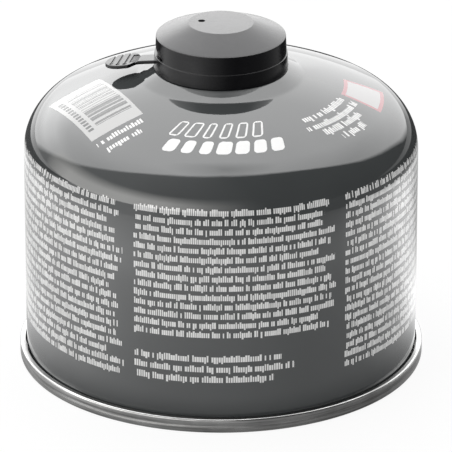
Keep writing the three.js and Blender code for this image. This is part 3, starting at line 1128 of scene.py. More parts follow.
@dataclass
class CanShell:
    """The sealed can: wall, shoulder, dome, neck curl and the pocket for the valve."""

    body_radius: float = 53.2
    wall_top: float = 59.5
    shoulder_radius: float = 15.2
    dome_radius: float = 104.5
    curl_centre: float = 13.8
    curl_section: float = 1.3
    neck_rise: float = 2.2
    waist: float = 0.8
    collar_radius: float = 22.3
    collar_blend: float = 1.2
    collar_crown: float = 18.2
    collar_slope: float = 26.5
    collar_step: float = 1.2
    fold_bottom: float = 1.7
    fold_top: float = 4.4
    fold_inner: float = 52.3
    wall_start: float = 8.0
    panel_radius: float = 51.2
    panel_height: float = 5.1
    panel_rise: float = 7.0
    pocket_radius: float = 13.6
    pocket_floor: float = 78.3
    tail_radius: float = 5.0
    tail_floor: float = 72.3

    @property
    def dome_centre(self) -> float:
        """Height of the dome's centre, from the shoulder's tangency to dome and wall."""
        reach = self.dome_radius - self.shoulder_radius
        across = self.body_radius - self.shoulder_radius
        return self.wall_top - math.sqrt(reach ** 2 - across ** 2)

    def dome_height(self, radius: float) -> float:
        """Height of the dome's outer surface at a distance from the axis."""
        return self.dome_centre + math.sqrt(self.dome_radius ** 2 - radius ** 2)

    @property
    def curl_height(self) -> float:
        """Height of the neck curl's middle."""
        return self.dome_height(self.curl_centre) + self.neck_rise

    def profile(self) -> Array:
        """Outline from the axis under the can, up the wall, over the dome, into the pocket."""
        shoulder_centre = self.body_radius - self.shoulder_radius
        lean = math.degrees(math.acos(shoulder_centre / (self.dome_radius - self.shoulder_radius)))
        waist = self.curl_centre + self.waist
        foot = waist + self.waist
        collar_edge = self.collar_radius + self.collar_blend
        collar_angle = math.degrees(math.acos(collar_edge / self.dome_radius))
        collar_foot = self.dome_height(self.collar_radius)
        collar_width = self.collar_radius - self.collar_crown
        collar_top = collar_foot + collar_width * math.tan(math.radians(self.collar_slope))
        waist_angle = -math.degrees(math.acos(self.waist / self.curl_section))
        curl = (self.curl_centre, self.curl_height)
        panel = inward_dome(self.panel_radius, self.panel_height, self.panel_rise, 24)
        pocket_top = self.curl_height - self.curl_section
        inner = self.curl_centre - self.curl_section
        return joined(
            panel,
            rounded([
                (self.panel_radius, self.panel_height, 0.0),
                (self.fold_inner, self.fold_top, 0.2),
                (self.fold_inner, self.fold_bottom, 0.2),
                (self.body_radius, self.fold_bottom, 0.2),
                (self.body_radius, self.wall_start, 0.0)]),
            line((self.body_radius, self.wall_start), (self.body_radius, self.wall_top), 30),
            arc((shoulder_centre, self.wall_top), self.shoulder_radius, 0.0, lean, 40),
            arc((0.0, self.dome_centre), self.dome_radius, lean, collar_angle, 48),
            rounded([
                (collar_edge, self.dome_height(collar_edge), 0.0),
                (self.collar_radius, collar_foot, 5.0),
                (self.collar_crown, collar_top, 0.6),
                (self.collar_crown - self.collar_step, collar_top, 0.4),
                (foot, self.dome_height(foot), 0.2),
                (waist, pocket_top, 0.0)], steps=10),
            arc(curl, self.curl_section, waist_angle, 180.0, 20),
            line((inner, curl[1]), (inner, pocket_top), 2),
            line((self.pocket_radius, pocket_top - (self.pocket_radius - inner)),
                 (self.pocket_radius, self.pocket_floor), 2),
            line((self.tail_radius, self.pocket_floor), (self.tail_radius, self.tail_floor), 2),
            line((0.0, self.tail_floor), (0.0, self.tail_floor), 1))

    def make(self, finishes: Finishes) -> None:
        """Builds the can and dresses it."""
        piece = turned("can_shell", self.profile(), segments=288)
        dress(piece, finishes.lacquer, Slot.PAINT, Body.CAN, "can_body")


def inward_dome(edge: float, height: float, rise: float, steps: int) -> Array:
    """Profile of an inward dome as one arc, from the axis out to its edge.

    The arc's radius is (edge squared + rise squared) / (2 rise).
    """
    radius = (edge ** 2 + rise ** 2) / (2.0 * rise)
    half = math.degrees(math.asin(edge / radius))
    return arc((0.0, height + rise - radius), radius, 90.0, 90.0 - half, steps)


@dataclass
class BaseEnd:
    """Base sheet: inward dome, chuck wall and the double-seam ring."""

    seam_radius: float = 55.0
    seam_height: float = 4.0
    rounding: float = 0.55
    waist: float = 0.1
    waist_heights: Point = (1.5, 2.1, 2.8)
    foot_inner: float = 52.3
    chuck_radius: float = 51.6
    chuck_foot: float = 0.9
    panel_radius: float = 51.2
    chuck_height: float = 4.4
    sheet: float = 0.4
    fold_outer: float = 53.5
    fold_inner: float = 52.0
    fold_floor: float = 1.4
    rise: float = 7.0

    def profile(self) -> Array:
        """Outline from the axis under the base, round the seam and back over the base."""
        under = inward_dome(self.panel_radius, self.chuck_height, self.rise, 32)
        above = inward_dome(self.panel_radius, self.chuck_height + self.sheet, self.rise, 32)[::-1]
        low, middle, high = self.waist_heights
        seam = rounded([
            (self.panel_radius, self.chuck_height, 0.0),
            (self.chuck_radius, self.chuck_foot, 0.3),
            (self.foot_inner, 0.0, 0.35),
            (self.seam_radius, 0.0, 0.75),
            (self.seam_radius, low, 0.5),
            (self.seam_radius - self.waist, middle, 0.5),
            (self.seam_radius, high, 0.5),
            (self.seam_radius, self.seam_height, self.rounding),
            (self.fold_outer, self.seam_height, 0.12),
            (self.fold_outer, self.fold_floor, 0.1),
            (self.fold_inner, self.fold_floor, 0.1),
            (self.fold_inner, self.chuck_height, 0.0)], steps=8)
        return joined(under, seam, above)

    def make(self, finishes: Finishes) -> None:
        """Builds the base and dresses it."""
        piece = turned("base_seam", self.profile(), segments=288)
        dress(piece, finishes.tinplate, Slot.TINPLATE, Body.CAN, "base_end")


@dataclass
class Valve:
    """Crimped cup with its threaded boss, and the gasket, seal, housing, spring and stem."""

    can: CanShell
    sheet: float = 0.4
    bead_inner: float = 2.1
    crimp_bulge: float = 1.6
    crimp_drop: float = 3.2
    well_depth: float = 8.0
    thread_radius: float = 5.55
    thread_pitch: float = 0.907
    thread_depth: float = 0.5
    thread_flat: float = 0.12
    thread_start: float = 1.6
    thread_fades: Pair = (0.8, 0.3)
    boss_foot: float = 0.9
    boss_chamfer: float = 0.5
    boss_above_bead: float = 4.0
    boss_bore: float = 4.75
    boss_lip: float = 0.5
    boss_hole: float = 2.2
    gasket_radii: Pair = (1.95, 1.45)
    gasket_ends: Pair = (10.0, 170.0)
    seal_thick: float = 1.0
    seal_hole: float = 1.7
    housing_radius: float = 4.45
    housing_length: float = 13.0
    bore_radius: float = 3.4
    bore_depth: float = 11.8
    tail_radius: float = 2.6
    tail_length: float = 3.6
    inlet_radius: float = 0.9
    stem_radius: float = 1.4
    stem_recess: float = 0.7
    collar_radius: float = 3.0
    collar_length: float = 2.0
    guide_radius: float = 1.2
    guide_length: float = 3.4
    spring_radius: float = 2.2
    wire_radius: float = 0.3
    wire_gap: float = 0.25
    spring_turns: int = 5
    stroke: float = 1.5
    slide_gap: float = 0.2

    @property
    def bead_outer(self) -> float:
        """Radius of the bead's outer face about the curl's middle."""
        return self.bead_inner + self.sheet

    @property
    def bead_top(self) -> float:
        """Height of the bead's top."""
        return self.can.curl_height + self.bead_outer

    @property
    def boss_top(self) -> float:
        """Height of the threaded boss's top."""
        return self.bead_top + self.boss_above_bead

    @property
    def well_floor(self) -> float:
        """Height of the well's floor round the boss."""
        return self.bead_top - self.well_depth

    @property
    def seal_top(self) -> float:
        """Height of the seal's upper face."""
        return self.boss_top - self.boss_lip

    @property
    def housing_top(self) -> float:
        """Height of the housing's rim, under the seal."""
        return self.seal_top - self.seal_thick

    @property
    def bore_floor(self) -> float:
        """Height of the floor of the housing's bore."""
        return self.housing_top - self.bore_depth

    @property
    def collar_bottom(self) -> float:
        """Height of the underside of the stem's collar."""
        return self.housing_top - self.slide_gap - self.collar_length

    @property
    def spring_start(self) -> float:
        """Height of the wire's middle where the spring stands in the housing."""
        return self.bore_floor + self.wire_radius + self.wire_gap

    @property
    def spring_end(self) -> float:
        """Height of the wire's middle under the stem's collar."""
        return self.collar_bottom - self.wire_radius - self.wire_gap

    def cup_profile(self) -> Array:
        """Closed outline of the cup's sheet, well and boss."""
        curl = (self.can.curl_centre, self.can.curl_height)
        well = curl[0] - self.bead_outer
        floor = self.well_floor
        crimp_z = curl[1] - self.crimp_drop
        wall_top = curl[1] - self.can.curl_section + self.slide_gap
        outer = well + self.sheet + self.crimp_bulge
        inner = outer - self.sheet
        under = rounded([
            (self.boss_bore, floor - self.sheet, 0.0),
            (well, floor - self.sheet, 0.5),
            (outer, crimp_z - self.sheet, 0.3),
            (outer, crimp_z + self.sheet, 0.3),
            (well + self.sheet, wall_top, 0.3),
            (well + self.sheet, curl[1], 0.0)])
        upper = rounded([
            (well, curl[1], 0.0),
            (well, wall_top, 0.4),
            (inner, crimp_z + self.sheet, 0.2),
            (inner, crimp_z - self.sheet, 0.2),
            (well, floor + self.sheet, 0.3),
            (well - self.boss_foot, floor, 0.5),
            (self.thread_radius + self.boss_foot, floor, 0.4),
            (self.thread_radius, floor + self.boss_foot, 0.3),
            (self.thread_radius, floor + self.thread_start, 0.0)])
        thread = line((self.thread_radius, floor + self.thread_start),
                      (self.thread_radius, self.boss_top - self.boss_chamfer), 190)
        crown = rounded([
            (self.thread_radius, self.boss_top - self.boss_chamfer, 0.0),
            (self.thread_radius - self.boss_chamfer, self.boss_top, 0.15),
            (self.boss_hole, self.boss_top, 0.15),
            (self.boss_hole, self.seal_top, 0.1),
            (self.boss_bore, self.seal_top, 0.1),
            (self.boss_bore, floor - self.sheet + 0.01, 0.0)])
        return joined(under, arc(curl, self.bead_inner, 180.0, -35.0, 32),
                      arc(curl, self.bead_outer, -35.0, 180.0, 40), upper, thread, crown)

    def threaded(self, radius: Array, height: Array, azimuth: Array) -> Array:
        """Cuts the helical thread into the boss.

        The depth is a triangle wave of the height over the pitch less the azimuth over
        a full turn, and it fades out at both ends of the boss.
        """
        turn = height / self.thread_pitch - azimuth / (2.0 * np.pi)
        wave = np.abs((turn % 1.0) * 2.0 - 1.0)
        cut = np.clip((wave - self.thread_flat) / (1.0 - 2.0 * self.thread_flat), 0.0, 1.0)
        past_start = height - self.well_floor - self.thread_start
        to_end = self.boss_top - self.boss_chamfer - height
        fade = (np.clip(past_start / self.thread_fades[0], 0.0, 1.0)
                * np.clip(to_end / self.thread_fades[1], 0.0, 1.0))
        on_boss = np.abs(radius - self.thread_radius) < 1e-4
        return radius - self.thread_depth * cut * fade * on_boss

    def make(self, finishes: Finishes) -> None:
        """Builds each piece of the valve and dresses it."""
        cup = turned("valve_cup_sheet", self.cup_profile(), segments=144, closed=True,
                     shape=self.threaded)
        dress(cup, finishes.tinplate, Slot.TINPLATE, Body.CAN, "valve_cup")
        dress(self.gasket(), finishes.rubber, Slot.RUBBER, Body.CAN, "cup_gasket")
        dress(self.seal(), finishes.rubber, Slot.RUBBER, Body.CAN, "valve_seal")
        dress(self.housing(), finishes.acetal, Slot.ACETAL, Body.CAN, "valve_housing")
        spring = self.spring()
        dress(spring, finishes.spring, Slot.SPRING, Body.CAN, "valve_spring")
        length = self.spring_end - self.spring_start
        self.spring_start * MM
        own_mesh(spring)
        dress(self.stem(), finishes.acetal, Slot.ACETAL, Body.STEM, "valve_stem")

    def gasket(self) -> bpy.types.Object:
        """Rubber gasket between the curl and the bead."""
        curl = (self.can.curl_centre, self.can.curl_height)
        outer, inner = self.gasket_radii
        first, last = self.gasket_ends
        section = joined(arc(curl, outer, first, last, 24), arc(curl, inner, last, first, 24))
        return turned("bead_gasket", section, segments=96, closed=True)

    def seal(self) -> bpy.types.Object:
        """Flat seal under the boss's lip."""
        return turned("stem_seal", rounded([
            (self.seal_hole, self.housing_top + 0.3, 0.0),
            (self.seal_hole, self.housing_top, 0.1),
            (self.housing_radius, self.housing_top, 0.1),
            (self.housing_radius, self.seal_top, 0.1),
            (self.seal_hole, self.seal_top, 0.12),
            (self.seal_hole, self.housing_top + 0.35, 0.0)]), segments=72, closed=True)

    def housing(self) -> bpy.types.Object:
        """Moulded housing with its bore and inlet tail."""
        step = self.housing_top - self.housing_length
        end = step - self.tail_length
        return turned("stem_housing", rounded([
            (self.inlet_radius, end + 0.5, 0.0),
            (self.inlet_radius, end, 0.15),
            (self.tail_radius, end, 0.3),
            (self.tail_radius, step, 0.2),
            (self.housing_radius, step, 0.3),
            (self.housing_radius, self.housing_top, 0.15),
            (self.bore_radius, self.housing_top, 0.15),
            (self.bore_radius, self.bore_floor, 0.2),
            (self.inlet_radius, self.bore_floor, 0.1),
            (self.inlet_radius, end + 0.55, 0.0)]), segments=72, closed=True)

    def spring(self) -> bpy.types.Object:
        """Return spring as a wire on a helix of even pitch."""
        start, end = self.spring_start, self.spring_end
        share = np.linspace(0.0, 1.0, self.spring_turns * 40 + 1)
        angle = 2.0 * np.pi * self.spring_turns * share
        path = np.stack([self.spring_radius * np.cos(angle),
                         self.spring_radius * np.sin(angle),
                         start + (end - start) * share], axis=1)
        return carried("return_spring", path, self.wire_radius)

    def stem(self) -> bpy.types.Object:
        """Stem with its sealing collar, spring guide and dished head."""
        top = self.boss_top - self.stem_recess
        collar_top = self.housing_top - self.slide_gap
        return turned("press_stem", rounded([
            (0.0, self.collar_bottom - self.guide_length, 0.0),
            (self.guide_radius, self.collar_bottom - self.guide_length, 0.3),
            (self.guide_radius, self.collar_bottom, 0.1),
            (self.collar_radius, self.collar_bottom, 0.2),
            (self.collar_radius, collar_top, 0.2),
            (self.stem_radius, collar_top, 0.1),
            (self.stem_radius, top, 0.2),
            (0.6, top, 0.1),
            (0.0, top - 0.35, 0.0)]), segments=72)


@dataclass
class Cap:
    """The cap's one moulding: tear ring, band, cone, flat top, vent hole, slot and tab."""

    can: CanShell
    valve: Valve
    lift: float = 1.2
    room: float = 0.45
    wall: float = 1.1
    skirt_taper: float = 0.25
    skirt_height: float = 4.2
    ledge: float = 0.25
    band_taper: float = 0.2
    band_height: float = 4.9
    headroom: float = 3.34
    top_radius: float = 8.75
    lip_height: float = 1.0
    snap_gap: float = 0.22
    vent_radius: float = 0.95
    vent_out: float = 5.3
    vent_azimuth: float = -102.0
    slot_height: float = 0.8
    slot_peak: float = 2.3
    slot_half_angle: float = 30.0
    slot_azimuth: float = -93.0
    slot_inset: float = 2.4
    tab_azimuth: float = -102.0
    tab_offset: float = 2.6
    tab_below_ledge: float = 2.1
    tab_reach: float = 31.1
    tab_thick: float = 1.0
    tab_root: float = 0.9
    tab_bend: float = 0.8
    bend_drop: float = 0.12
    neck_half: float = 2.5
    paddle_length: float = 9.4
    flare: float = 2.5
    paddle_half: float = 4.8
    tip_length: float = 5.6
    tip_edge: float = 1.2
    least_half: float = 0.02
    neck_fall: float = 0.12
    paddle_fall: float = 0.19
    grooves: int = 3
    groove_pitch: float = 1.95
    groove_first: float = 2.1
    groove_half: float = 0.26
    groove_depth: float = 0.34
    groove_margin: float = 1.0
    groove_fade: float = 0.3
    pit_radius: float = 0.5
    pit_depth: float = 0.75
    pit_inset: float = 0.2
    pit_edge: float = 1.6
    recess_half: Pair = (1.1, 2.9)
    recess_from_tip: float = 8.2
    recess_depth: float = 0.3
    recess_edge: float = 3.0
    rib_pitch: float = 0.9
    rib_share: float = 0.4
    edge_round: float = 0.28

    @property
    def ledge_radius(self) -> float:
        """Outer radius at the ledge, from the bead, its clearance and the wall."""
        return self.can.curl_centre + self.valve.bead_outer + self.room + self.wall

    @property
    def skirt_radius(self) -> float:
        """Outer radius of the tear ring's foot."""
        return self.ledge_radius + self.skirt_taper

    @property
    def bottom(self) -> float:
        """Height of the cap's lower edge."""
        return self.can.dome_height(self.skirt_radius) + self.lift

    @property
    def ledge_height(self) -> float:
        """Height of the ledge between tear ring and band."""
        return self.bottom + self.skirt_height

    @property
    def top(self) -> float:
        """Height of the cap's flat top."""
        return self.valve.boss_top + self.headroom + self.wall

    @property
    def neck_end(self) -> float:
        """Distance from the axis where the tab's neck ends and its paddle begins."""
        return self.tab_reach - self.paddle_length

    def profile(self) -> Array:
        """Outline from the ceiling down the inside and up the outside."""
        band = self.ledge_radius - self.ledge
        shoulder = band - self.band_taper
        band_top = self.ledge_height + self.band_height
        slope = math.atan2(self.top - band_top, shoulder - self.top_radius)
        drop = self.wall / math.cos(slope)
        inner_skirt = self.ledge_radius - self.wall
        inner_band = shoulder - self.wall
        lip = self.can.curl_centre + self.valve.bead_outer + self.snap_gap
        ceiling = self.top - self.wall
        return rounded([
            (0.0, ceiling, 0.0),
            (self.top_radius - (drop - self.wall) / math.tan(slope), ceiling, 0.6),
            (inner_band, band_top + self.wall * math.tan(slope) - drop, 0.5),
            (inner_band, self.ledge_height + self.wall, 0.2),
            (inner_skirt, self.ledge_height, 0.2),
            (inner_skirt, self.bottom + 2.0 * self.lip_height, 0.2),
            (lip, self.bottom + self.lip_height, 0.2),
            (inner_skirt, self.bottom, 0.15),
            (self.skirt_radius, self.bottom, 0.35),
            (self.ledge_radius, self.ledge_height, 0.13),
            (band, self.ledge_height, 0.06),
            (shoulder, band_top, 0.22),
            (self.top_radius, self.top, 0.5),
            (0.0, self.top, 0.0)], steps=6)

    def half_width(self, out: Array) -> Array:
        """Half the tab's width: straight neck, smooth flare and elliptical tip."""
        share = np.clip((out - self.neck_end) / self.flare, 0.0, 1.0)
        ease = share * share * (3.0 - 2.0 * share)
        tip = np.clip((out - self.tab_reach + self.tip_length) / self.tip_length, 0.0, 1.0)
        half = self.neck_half + (self.paddle_half - self.neck_half) * ease
        return half * np.sqrt(1.0 - tip ** 2)

    def tab_top(self, out: Array) -> Array:
        """Height of the tab's top face, which falls slowly on the neck, faster on the paddle."""
        past = out - self.neck_end
        bent = 0.5 * (past + np.sqrt(past ** 2 + self.tab_bend ** 2)) - self.bend_drop
        root = self.ledge_height - self.tab_below_ledge
        return (root - self.neck_fall * (np.minimum(out, self.neck_end) - self.ledge_radius)
                - self.paddle_fall * np.maximum(bent, 0.0))

    def relief(self, out: Array, side: Array) -> Array:
        """Depth cut into the tab's top: grooves that end in round pits, and a ribbed recess."""
        room = self.half_width(out) - self.groove_margin - side
        within = np.clip(room / self.groove_fade, 0.0, 1.0)
        depth = np.zeros_like(out)
        for number in range(self.grooves):
            middle = self.tab_reach - self.groove_first - number * self.groove_pitch
            cross = np.clip(1.0 - ((out - middle) / self.groove_half) ** 4, 0.0, 1.0)
            depth = np.maximum(depth, self.groove_depth * cross * within)
            pit_side = self.half_width(np.array(middle)) - self.groove_margin - self.pit_inset
            reach = np.hypot(out - middle, side - pit_side) / self.pit_radius
            pit = np.clip(self.pit_edge - self.pit_edge * reach ** 4, 0.0, 1.0)
            depth = np.maximum(depth, self.pit_depth * pit)
        along = np.abs(out - self.tab_reach + self.recess_from_tip) / self.recess_half[0]
        aside = np.abs(side) / self.recess_half[1]
        reach = np.maximum(along, aside) ** 8
        recess = np.clip(self.recess_edge - self.recess_edge * reach, 0.0, 1.0)
        ribs = 0.5 + 0.5 * np.cos(2.0 * np.pi * side / self.rib_pitch)
        ribbed = (1.0 - self.rib_share) + self.rib_share * ribs
        return np.maximum(depth, recess * self.recess_depth * ribbed)

    def tab(self) -> bpy.types.Object:
        """The tear tab on a grid: stations outwards, and shares of the half width across.

        The top falls away near the edge along a quarter circle, the underside rises in
        the same way, and the two meet in a short upright side.
        """
        tip_start = self.tab_reach - self.tip_length
        root = self.ledge_radius - self.tab_root * self.wall
        spread = np.linspace(0.0, 0.5 * np.pi, 56)
        out = np.concatenate([np.linspace(root, self.neck_end, 30, endpoint=False),
                              np.linspace(self.neck_end, tip_start, 70, endpoint=False),
                              tip_start + self.tip_length * np.sin(spread)])
        edge = 0.5 - 0.5 * np.cos(np.linspace(0.0, np.pi, 61))
        share = 2.0 * edge - 1.0
        half = np.maximum(self.half_width(out), self.least_half)
        grid_out = np.repeat(out[:, None], share.size, axis=1)
        side = half[:, None] * share[None, :]
        to_edge = np.minimum(half[:, None] - np.abs(side),
                             (self.tab_reach - grid_out) * self.tip_edge)
        inset = np.clip(self.edge_round - to_edge, 0.0, self.edge_round)
        fall = self.edge_round - np.sqrt(self.edge_round ** 2 - inset ** 2)
        top = self.tab_top(grid_out) - fall - self.relief(grid_out, side)
        under = self.tab_top(grid_out) - self.tab_thick + fall
        angle = math.radians(self.tab_azimuth)
        direction = np.array([math.sin(angle), -math.cos(angle)])
        across = np.array([-direction[1], direction[0]])
        flat = grid_out[..., None] * direction + (side[..., None] + self.tab_offset) * across
        rows, columns = grid_out.shape
        points = np.concatenate([
            np.concatenate([flat, top[..., None]], axis=-1).reshape(-1, 3),
            np.concatenate([flat, under[..., None]], axis=-1).reshape(-1, 3)])
        number = np.arange(rows * columns).reshape(rows, columns)
        over = grid_faces(rows, columns, False, False)
        below = over[:, ::-1] + rows * columns
        rim = np.concatenate([number[:, 0], number[-1, 1:], number[-2::-1, -1],
                              number[0, -2:0:-1]])
        following = np.roll(rim, -1)
        wall = np.stack([rim, following, following + rows * columns, rim + rows * columns], axis=1)
        return solid("tear_tab", points, np.concatenate([over, below, wall]).tolist())

    def slot_cutter(self) -> bpy.types.Object:
        """Curved bar that cuts the open slot just over the ledge, round the tab's root."""
        reach = math.radians(self.slot_half_angle)
        angle = math.radians(self.slot_azimuth) + np.linspace(-reach, reach, 49)
        inner = self.ledge_radius - self.slot_inset * self.wall
        outer = self.skirt_radius + self.wall
        radius = np.array([[inner, outer, outer, inner]])
        share = np.abs(np.linspace(-1.0, 1.0, angle.size))[:, None]
        peak = np.clip(1.4 - 1.8 * share, 0.0, 1.0)
        height = self.slot_height + (self.slot_peak - self.slot_height) * peak
        level = self.ledge_height + height * np.array([[0.0, 0.0, 1.0, 1.0]])
        grid = np.stack([radius * np.sin(angle)[:, None], -radius * np.cos(angle)[:, None],
                         level], axis=-1)
        faces = grid_faces(angle.size, 4, False, True)[:, ::-1].tolist()
        faces += [[0, 1, 2, 3], [4 * angle.size - 1 - k for k in range(4)]]
        return solid("slot_cutter", grid.reshape(-1, 3), faces)

    def vent_cutter(self) -> bpy.types.Object:
        """Upright round bar that cuts the vent hole."""
        sides = 48
        angle = np.linspace(0.0, 2.0 * np.pi, sides, endpoint=False)
        azimuth = math.radians(self.vent_azimuth)
        centre = self.vent_out * np.array([math.sin(azimuth), -math.cos(azimuth)])
        ring = centre + self.vent_radius * np.stack([np.cos(angle), np.sin(angle)], axis=1)
        levels = (self.top - 3.0 * self.wall, self.top + self.wall)
        grid = np.concatenate([np.concatenate([ring, np.full((sides, 1), level)], axis=1)
                               for level in levels])
        faces = grid_faces(2, sides, False, True).tolist()
        faces += [list(range(sides))[::-1], list(range(sides, 2 * sides))]
        return solid("vent_cutter", grid, faces)

    def make(self, finishes: Finishes) -> None:
        """Builds the cap as one solid and dresses it."""
        piece = turned("pull_cap", self.profile(), segments=240)
        combined(piece, self.slot_cutter(), "DIFFERENCE")
        combined(piece, self.vent_cutter(), "DIFFERENCE")
        combined(piece, self.tab(), "UNION")
        dress(piece, finishes.black, Slot.BLACK, Body.CAP, "cap")


@dataclass
class Studio:
    """Camera, soft lamps, pale floor and white surroundings.

    Stops are pairs of an azimuth, elevation or distance and the level there.
    """

    aim: Point = (0.00135, 0.0, 0.0362)
    elevation: float = 23.22
    distance: float = 1.3815
    pixels_per_mm: float = 3.681
    sensor: float = 36.0
    clip_end: float = 50.0
    floor_half: float = 3.0
    floor_shade: Colour = (0.75, 0.75, 0.75)
    floor_glow: float = 0.83
    floor_seen: float = 1.07
    white_seen: float = 1.04
    matt_room: float = 0.5
    ceiling_edge: Stops = (
        (-180, -12), (-148, -8), (-135, -1), (-122, 9), (-111, 18), (-99, 26), (-89, 37),
        (-79, 47), (-69, 57), (-55, 65), (-32, 71), (0, 75), (35, 73), (61, 68), (76, 61),
        (86, 52), (95, 41), (103, 31), (114, 22), (125, 14), (135, 5), (148, -2), (180, -12))
    ceiling_soft: float = 3.0
    ceiling_level: Stops = (
        (-20, 1.7), (5, 2.4), (23, 3.3), (40, 3.6), (53, 4.3), (72, 4.9), (90, 3.2))
    card_across: Stops = (
        (-120, 0), (-98, 3.6), (-55, 4.9), (-32, 4.4), (-8, 2.0), (14, 0.3), (26, 0))
    card_up: Stops = ((-22, 0.0), (-6, 1.0), (12, 1.0), (27, 0.0))
    card_tint: Colour = (1.0, 0.99, 0.965)
    room_level: Stops = (
        (-180, 0.1), (-110, 0.8), (-60, 0.75), (0, 0.22), (20, 0.02), (110, 0.05), (180, 0.1))
    mirrored_floor: Stops = (
        (-180, 0.4), (-162, 0.5), (-132, 0.9), (-102, 1.75), (-77, 2.0), (-57, 1.9), (-30, 1.4),
        (0, 1.0), (30, 0.72), (61, 0.74), (82, 1.25), (108, 2.3), (121, 1.6), (135, 0.6),
        (148, 0.35), (162, 0.35), (180, 0.4))
    mirrored_distance: Stops = ((53, 0.3), (62, 0.5), (74, 1.0), (140, 1.3), (165, 1.8))
    mirrored_far: Stops = (
        (-180, 1.7), (-150, 1.6), (-130, 1.1), (-105, 1.45), (-45, 1.5), (-15, 0.7), (8, 0.2),
        (25, 0.1), (70, 0.2), (110, 0.5), (138, 0.55), (152, 0.6), (162, 1.4), (180, 1.7))
    far_stretch: Pair = (152.0, 207.0)
    strip_rise: Pair = (152.0, 170.0)
    strip_fall: Pair = (370.0, 390.0)
    strip_level: float = 0.06
    hot_spot: float = 0.85
    hot_across: Pair = (170.0, 176.0)
    hot_rise: Pair = (4.0, 12.0)
    hot_fall: Pair = (32.0, 40.0)
    left_glow: float = 0.9
    left_from: Pair = (-176.0, -160.0)
    left_to: Pair = (-135.0, -110.0)
    left_rise: Pair = (4.0, 12.0)
    left_fall: Pair = (23.0, 32.0)

    def camera(self) -> None:
        """Long-lens camera in front of the canister, looking down at it.

        The focal length is the distance times the pixels to a mm times the sensor's
        width over the image's side.
        """
        data = bpy.data.cameras.new("camera")
        data.sensor_width = self.sensor
        data.lens = self.distance / MM * self.pixels_per_mm * self.sensor / IMAGE_SIDE
        data.clip_end = self.clip_end
        camera = placed("camera", data)
        tilt = math.radians(self.elevation)
        back = Vector((0.0, -math.cos(tilt), math.sin(tilt)))
        camera.location = Vector(self.aim) + self.distance * back
        camera.rotation_euler = Matrix.Rotation(math.pi / 2 - tilt, 4, "X").to_euler()
        bpy.context.scene.camera = camera

    def lamp(self, name: str, centre: Point, towards: Point, size: Pair, radiance: float,
             tint: Colour = WHITE) -> None:
        """A soft rectangular lamp that neither the camera nor reflections show.

        Args:
            name: the lamp's name.
            centre: where it stands, in metres.
            towards: the point that it faces, in metres.
            size: its width and height, in metres.
            radiance: how bright its face is, where 1 is white.
            tint: its colour.
        """
        data = bpy.data.lights.new(name, "AREA")
        data.shape = "RECTANGLE"
        data.size, data.size_y = size
        data.energy = radiance * math.pi * size[0] * size[1]
        data.color = tint
        lamp = placed(name, data)
        facing = (Vector(towards) - Vector(centre)).to_track_quat("-Z", "Y")
        lamp.matrix_world = Matrix.Translation(centre) @ facing.to_matrix().to_4x4()
        lamp.visible_camera = False
        lamp.visible_glossy = False

    def lamps(self) -> None:
        """Soft lamps for the matt part of the light. The surroundings give the mirrored part."""
        self.lamp("overhead", (-0.2, 0.4, 1.2), (0.0, 0.1, 0.0), (1.6, 1.4), 1.5)
        self.lamp("left_key", (-1.3, -1.1, 0.9), (0.0, 0.0, 0.05), (1.0, 0.9), 1.7,
                  tint=(1.0, 0.985, 0.96))
        self.lamp("front_fill", (0.5, -1.9, 0.7), (0.0, 0.0, 0.05), (1.4, 0.9), 0.9)

    def floor(self) -> None:
        """Pale floor: near white with the canister's shadow, and an even sweep when mirrored.

        Mirrored light from the floor is a level round the axis times a level that
        grows with the distance from the canister, and far away a level round the axis
        of its own. A strip of the floor behind the canister mirrors dark.
        """
        half = self.floor_half
        mesh = bpy.data.meshes.new("floor")
        corners = [(-half, -half, 0.0), (half, -half, 0.0), (half, half, 0.0), (-half, half, 0.0)]
        mesh.from_pydata(corners, [], [(0, 1, 2, 3)])
        floor = placed("floor", mesh)
        material, graph = blank_material("floor")
        diffuse = graph.add("ShaderNodeBsdfDiffuse")
        graph.fill(diffuse, {"Color": (*self.floor_shade, 1.0)})
        rays = graph.add("ShaderNodeLightPath")
        glossy = rays.outputs["Is Glossy Ray"]
        place = Place.on_can(graph)
        # Painted shadow: the mirrored glow is dimmer close to the canister, where the can's own
        # shadow would fall.
        near = graph.times(graph.ramp(place.azimuth, self.mirrored_floor),
                           graph.ramp(place.radius, self.mirrored_distance))
        level = graph.mixed(graph.spread(place.radius, *self.far_stretch), near,
                            graph.ramp(place.azimuth, self.mirrored_far))
        strip = graph.window(place.y, self.strip_rise, self.strip_fall)
        level = graph.times(level, graph.mixed(strip, 1.0, self.strip_level))
        glow = graph.add("ShaderNodeEmission")
        graph.fill(glow, {"Strength": graph.mixed(glossy, self.floor_seen, level)})
        mix = graph.add("ShaderNodeMixShader")
        seen = graph.times(rays.outputs["Is Camera Ray"], self.floor_glow)
        for socket, value in zip(mix.inputs, (graph.any_of(seen, glossy), diffuse.outputs[0],
                                              glow.outputs[0])):
            graph.feed(socket, value)
        graph.feed(graph.add("ShaderNodeOutputMaterial").inputs[0], mix.outputs[0])
        mesh.materials.append(material)

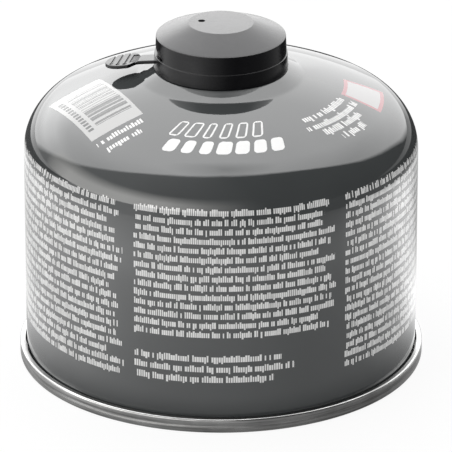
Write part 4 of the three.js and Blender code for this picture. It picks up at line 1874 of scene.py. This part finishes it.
    def world(self) -> None:
        """White surroundings for the camera, a dim room for matt light, a studio when mirrored.

        The mirrored studio is a large ceiling of light whose lower edge follows a curve
        round the axis, with a bright spot and a glow low behind it, a warm low card at
        the left front, and a dark room between them.
        """
        world = bpy.data.worlds.new("surroundings")
        world.use_nodes = True
        bpy.context.scene.world = world
        graph = Graph(world.node_tree)
        parts = graph.add("ShaderNodeSeparateXYZ")
        graph.feed(parts.inputs[0], graph.add("ShaderNodeTexCoord").outputs["Generated"])
        x, y, z = parts.outputs
        azimuth = graph.azimuth(x, y)
        elevation = graph.math("DEGREES", graph.math("ARCSINE", z))
        above_edge = graph.minus(elevation, graph.ramp(azimuth, self.ceiling_edge))
        ceiling = graph.times(graph.spread(above_edge, -self.ceiling_soft, self.ceiling_soft),
                              graph.ramp(elevation, self.ceiling_level))
        behind = graph.spread(graph.math("ABSOLUTE", azimuth), *self.hot_across, 0.0,
                              self.hot_spot)
        hot = graph.times(behind, graph.window(elevation, self.hot_rise, self.hot_fall))
        left = graph.times(graph.window(azimuth, self.left_from, self.left_to, self.left_glow),
                           graph.window(elevation, self.left_rise, self.left_fall))
        ceiling = graph.plus(ceiling, graph.plus(hot, left))
        card = graph.times(graph.ramp(azimuth, self.card_across),
                           graph.ramp(elevation, self.card_up))
        studio = graph.plus(graph.plus(ceiling, card), graph.ramp(azimuth, self.room_level))
        tint = graph.blend(graph.math("MINIMUM", card, 1.0), WHITE, self.card_tint)
        rays = graph.add("ShaderNodeLightPath")
        glossy = rays.outputs["Is Glossy Ray"]
        plain = graph.mixed(rays.outputs["Is Camera Ray"], self.matt_room, self.white_seen)
        background = graph.add("ShaderNodeBackground")
        graph.fill(background, {"Color": graph.blend(glossy, WHITE, tint),
                                "Strength": graph.mixed(glossy, plain, studio)})
        graph.feed(graph.add("ShaderNodeOutputWorld").inputs[0], background.outputs[0])

    def make(self) -> None:
        """Sets the whole stage."""
        bpy.context.scene.view_settings.view_transform = "Standard"
        self.camera()
        self.lamps()
        self.floor()
        self.world()
        log.info("studio: camera %.2f m away, %.1f degrees up", self.distance, self.elevation)


def main() -> None:
    """Builds the canister's pieces in order."""
    logging.basicConfig(level=logging.INFO, format="%(name)s: %(message)s")
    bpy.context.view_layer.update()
    finishes = Finishes()
    can = CanShell()
    valve = Valve(can)
    can.make(finishes)
    BaseEnd().make(finishes)
    valve.make(finishes)
    Cap(can, valve).make(finishes)
    Studio().make()


if __name__ == "__main__":
    main()
